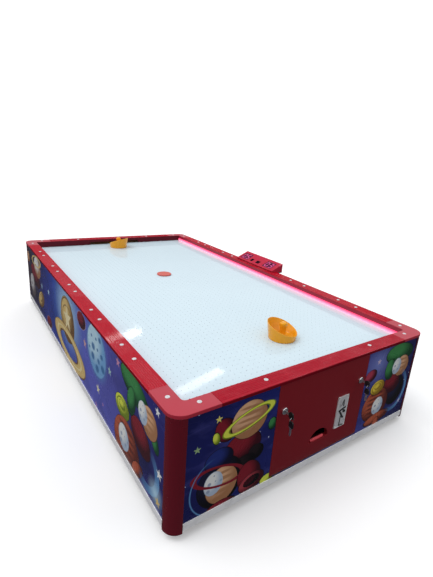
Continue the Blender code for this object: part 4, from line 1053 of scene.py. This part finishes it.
def make_displays(backing, smoked, lit, unlit):
    """Digits behind the scoreboard's windows."""
    node = "scoreboard_housing"
    low, high = local_box(node)
    rise, run, length = high.z - SCORE_LOW_Z, high.x - low.x, high.y - low.y
    face = math.hypot(run, rise)
    # From the table the face's X runs from its far end towards -Y, and its Y up the slope
    base = facing_out(low.x, high.y, SCORE_LOW_Z, (-rise, 0, run), up=(run, 0, rise))
    glowing_bars, dark_bars = bmesh.new(), bmesh.new()
    for name, (start, end, bottom, top, text) in DISPLAYS.items():
        big = len(text) == 2 and top > 0.5
        x0, x1 = start * length, end * length
        y0, y1 = bottom * face, top * face
        plate = bmesh.new()
        outline = oblong((x0 + DISPLAY_GAP, y0 + DISPLAY_GAP),
                         (x1 - DISPLAY_GAP, y1 - DISPLAY_GAP), 0.0006, 2)
        prism(plate, base, outline, DISPLAY_TOP - 0.0006, DISPLAY_TOP)
        place_mesh(f"display_{name}", plate, backing if big else smoked, node)
        margin = 0.10 * (y1 - y0)
        width = (x1 - x0 - margin) / len(text)
        for k, mark in enumerate(text):
            left = x0 + margin / 2 + k * width
            box = ((left + 0.10 * width, y0 + margin), (left + 0.90 * width, y1 - margin))
            for bar_lit, outline in zip(SEGMENTS[mark], bars(*box, 0.13 * (y1 - y0))):
                target = glowing_bars if bar_lit and big else dark_bars
                prism(target, base, outline, DISPLAY_TOP, DISPLAY_TOP + 0.0003)
    place_mesh("digits_lit", glowing_bars, lit, node)
    place_mesh("digits_dark", dark_bars, unlit, node)


# Bent channels in the coin plate, as (x, z) along their middles, and their widths
COIN_CHANNELS = (
    (((0.1010, 0.2110), (0.1110, 0.2370)), 0.00297),
    (((0.1120, 0.2375), (0.1140, 0.2080)), 0.00594),
    (((0.1285, 0.2020), (0.0945, 0.1925), (0.1170, 0.1590), (0.1225, 0.1590)), 0.00756),
    (((0.1058, 0.1690), (0.1045, 0.1260), (0.1285, 0.1235)), 0.00486),
)
COIN_RIM = 0.0022  # width of the raised rim


def make_coin_front(dark, metal):
    """Dark channels round the coin plate's slot, button and return, a raised rim and screws."""
    low, high = local_box("coin_plate")
    base = facing_front(low.y)
    bm = bmesh.new()
    for points, width in COIN_CHANNELS:
        prism(bm, base, band(points, width), 0.0, 0.0005)
    place_mesh("coin_channels", bm, dark, "coin_plate", 60)
    bm = bmesh.new()
    strips = (((low.x, low.z), (low.x + COIN_RIM, high.z)),
              ((high.x - COIN_RIM, low.z), (high.x, high.z)),
              ((low.x, high.z - COIN_RIM), (high.x, high.z)),
              ((low.x, low.z), (high.x, low.z + COIN_RIM)))
    for start, end in strips:
        prism(bm, base, oblong(start, end, 0.0008, 3), 0.0, 0.0012)
    place_mesh("coin_plate_rim", bm, metal, "coin_plate")
    bm = bmesh.new()
    for x in (low.x + 0.006, high.x - 0.006):
        for z in (low.z + 0.008, high.z - 0.006):
            screw_head(bm, base @ Matrix.Translation((x, z, 0.0)), 0.0026, 40 * x + 9 * z)
    place_mesh("coin_plate_screws", bm, metal, "coin_plate")


MOUTH_LOW = 0.104  # the puck mouth's flat lower edge
LIP_HALF, LIP_TALL, LIP_IN, LIP_DEEP = 0.036, 0.0085, 0.0030, 0.0060


def make_mouth_lip(material):
    """A worn, rounded lip standing just inside the door's puck mouth."""
    base = facing_front(local_box("front_door")[0].y)
    bm = bmesh.new()
    outline = oblong((-LIP_HALF, MOUTH_LOW - 0.0010), (LIP_HALF - 0.006, MOUTH_LOW + LIP_TALL),
                     0.0038, 6)
    prism(bm, base, outline, -LIP_IN - LIP_DEEP, -LIP_IN)
    piece = place_mesh("mouth_lip", bm, material, "front_door")
    soften(piece, 0.0015, 3)


def make_light_strip(material):
    """The glowing diffuser along both long walls, from the field up to its groove."""
    for side, sign in SIDES:
        node = f"led_strip_{side}"
        low, high = local_box(node)
        inner, outer = sorted((abs(low.x), abs(high.x)))
        foot, shelf = FIELD_TOP + 0.0004, low.z + 0.0002
        outline = ((inner - 0.0012, foot), (inner - 0.0002, foot), (inner - 0.0002, shelf),
                   (outer, shelf), (outer, high.z), (inner + 0.0002, high.z),
                   (inner - 0.0012, high.z - 0.0030))
        bm = bmesh.new()
        prism(bm, facing_front(low.y), [(sign * x, z) for x, z in outline], low.y - high.y, 0.0)
        piece = place_mesh(f"light_diffuser_{side}", bm, material, node, 60)
        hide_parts(node)


def paint_cabinet():
    """Materials for the cabinet's rails, panels, walls and trim."""
    rail_side = enamel("rail_enamel_side", 0xb01026, 1)
    rail_end = enamel("rail_enamel_end", 0xa8162a, 0)
    cap = moulded("cap_plastic", 0xb42e40, 0.34, specular=0.3)
    # Painted shade: the corner posts' dark maroon stands in for the shade on the cabinet's red
    post = moulded("post_painted_shade_plastic", 0x6a1020, 0.24, coat=0.3, specular=0.25)
    side_picture = side_print()
    end_picture = end_print()
    wall = moulded("wall_plastic", 0x9e1632, 0.35, specular=0.4)
    # Painted shade: the end walls get a darker copy of the walls' red, for the shade on them
    end_wall_painted_shade = moulded("end_wall_painted_shade_plastic", 0x581220, 0.45, specular=0.15)
    trim = anodised("trim_aluminium", 0xfafafc, 1)
    for side, sign in SIDES:
        make_rail(f"rail_{side}", sign, 1, rail_side)
        refine(f"side_panel_{side}", side_picture, 0.0006)
        dress(trim, f"bottom_trim_{side}")
        dress(wall, f"inner_wall_{side}")
    for end, sign in ENDS:
        make_rail(f"rail_{end}", sign, 0, rail_end)
        refine(f"end_panel_{end}", end_picture, 0.0006)
        dress(trim, f"bottom_trim_{end}")
        dress(end_wall_painted_shade, f"inner_wall_{end}")
        for side, _ in SIDES:
            refine(f"corner_cap_{end}_{side}", cap, 0.0018, 3)
            refine(f"corner_post_{end}_{side}", post, 0.0008)
    make_field(field_laminate("field_laminate"))
    make_light_strip(glowing("light_diffuser", 0xff96b2, 1.5, 0xec2860,
                             (FIELD_TOP, local_box("led_strip_left")[1].z)))
    make_screws(zinc("screw_zinc"), moulded("dark_screw", 0x1e1a1c, 0.4))


def paint_works():
    """Materials for the air supply, the chutes and the board inside."""
    pressed = board("pressed_board")
    black = moulded("black_plastic", 0x1a1a1c, 0.45)
    # The near-black colour is painted shade inside the chute, above 0.098
    chute = tray("chute_plastic", 0xe2505c, 0x140507, 0.098)
    steel = brushed("sheet_steel", 0xbec0c4, 2)
    motor = brushed("motor_casing", 0x969aa0, 0, 0.4)
    dress(pressed, "base_panel", "air_plenum", "door_frame")
    dress(black, "blower_housing", "blower_impeller", "coin_mech", "power_inlet")
    dress(moulded("rocker_plastic", 0x96181c, 0.3), "power_switch")
    dress(motor, "blower_motor")
    dress(steel, "door_hinge_rod", "cash_box")
    for end, _ in ENDS:
        dress(chute, f"puck_chute_{end}")
        for side, _ in SIDES:
            dress(black, f"foot_{end}_{side}")


KEY_REACH = 0.0405  # a key's end in front of the panels' face
KEY_HEAD = 0.020  # length of a key's plastic head
SPARE_BLADE, SPARE_HEAD = 0.032, 0.026


def paint_door():
    """Materials for the door, its locks and keys, and the coin mechanism's front."""
    chrome = polished("chrome")
    black = moulded("button_plastic", 0x161618, 0.35)
    plate = zinc("coin_plate_zinc", 0xf6f6f8)
    refine("front_door", moulded("door_laminate", 0x841822, 0.40, specular=0.25), 0.0008)
    refine("coin_plate", plate, 0.0005)
    make_mouth_lip(moulded("lip_plastic", 0xf05c66, 0.32))
    dress(black, "reject_button")
    dress(plate, "return_flap")
    make_coin_front(black, zinc("coin_plate_rim_zinc", 0xffffff))
    head_y = -(PANEL_Y + KEY_REACH - KEY_HEAD)
    for side, _ in SIDES:
        blade_top = local_box(f"spare_key_{side}")[0].z + SPARE_BLADE
        dress(chrome, f"lock_barrel_{side}")
        dress(key_metal(f"lock_key_{side}_finish", 1, -10.0, head_y), f"lock_key_{side}")
        dress(key_metal(f"spare_key_{side}_finish", 2, blade_top, blade_top + SPARE_HEAD),
              f"spare_key_{side}")


def paint_play():
    """Materials for the scoreboard, the mallets and the puck."""
    refine("scoreboard_housing", enamel("scoreboard_enamel", 0xbc3046, 1, coat=0.1),
           0.0010)
    dress(moulded("lens_plastic", 0x781258, 0.15), "score_lens")
    dress(moulded("circuit_board", 0x24744c, 0.4), "score_board")
    make_displays(moulded("display_backing", 0x540630, 0.40, specular=0.1),
                  moulded("smoked_window", 0x160608, 0.30, specular=0.0),
                  glowing("digit_glow", 0xbe0e70, 0.28),
                  moulded("digit_unlit", 0x320820, 0.35, specular=0.0))
    mallet = moulded("mallet_plastic", 0xeea41c, 0.26, coat=0.25)
    for node in ("mallet_near", "mallet_far"):
        refine(node, mallet, 0.0009, 3)
    refine("puck", moulded("puck_plastic", 0xce5c50, 0.38), 0.0010, 3)


def main():
    bpy.context.scene.view_settings.view_transform = "Standard"
    make_camera()
    make_light()
    make_stage()
    paint_cabinet()
    paint_works()
    paint_door()
    paint_play()


main()
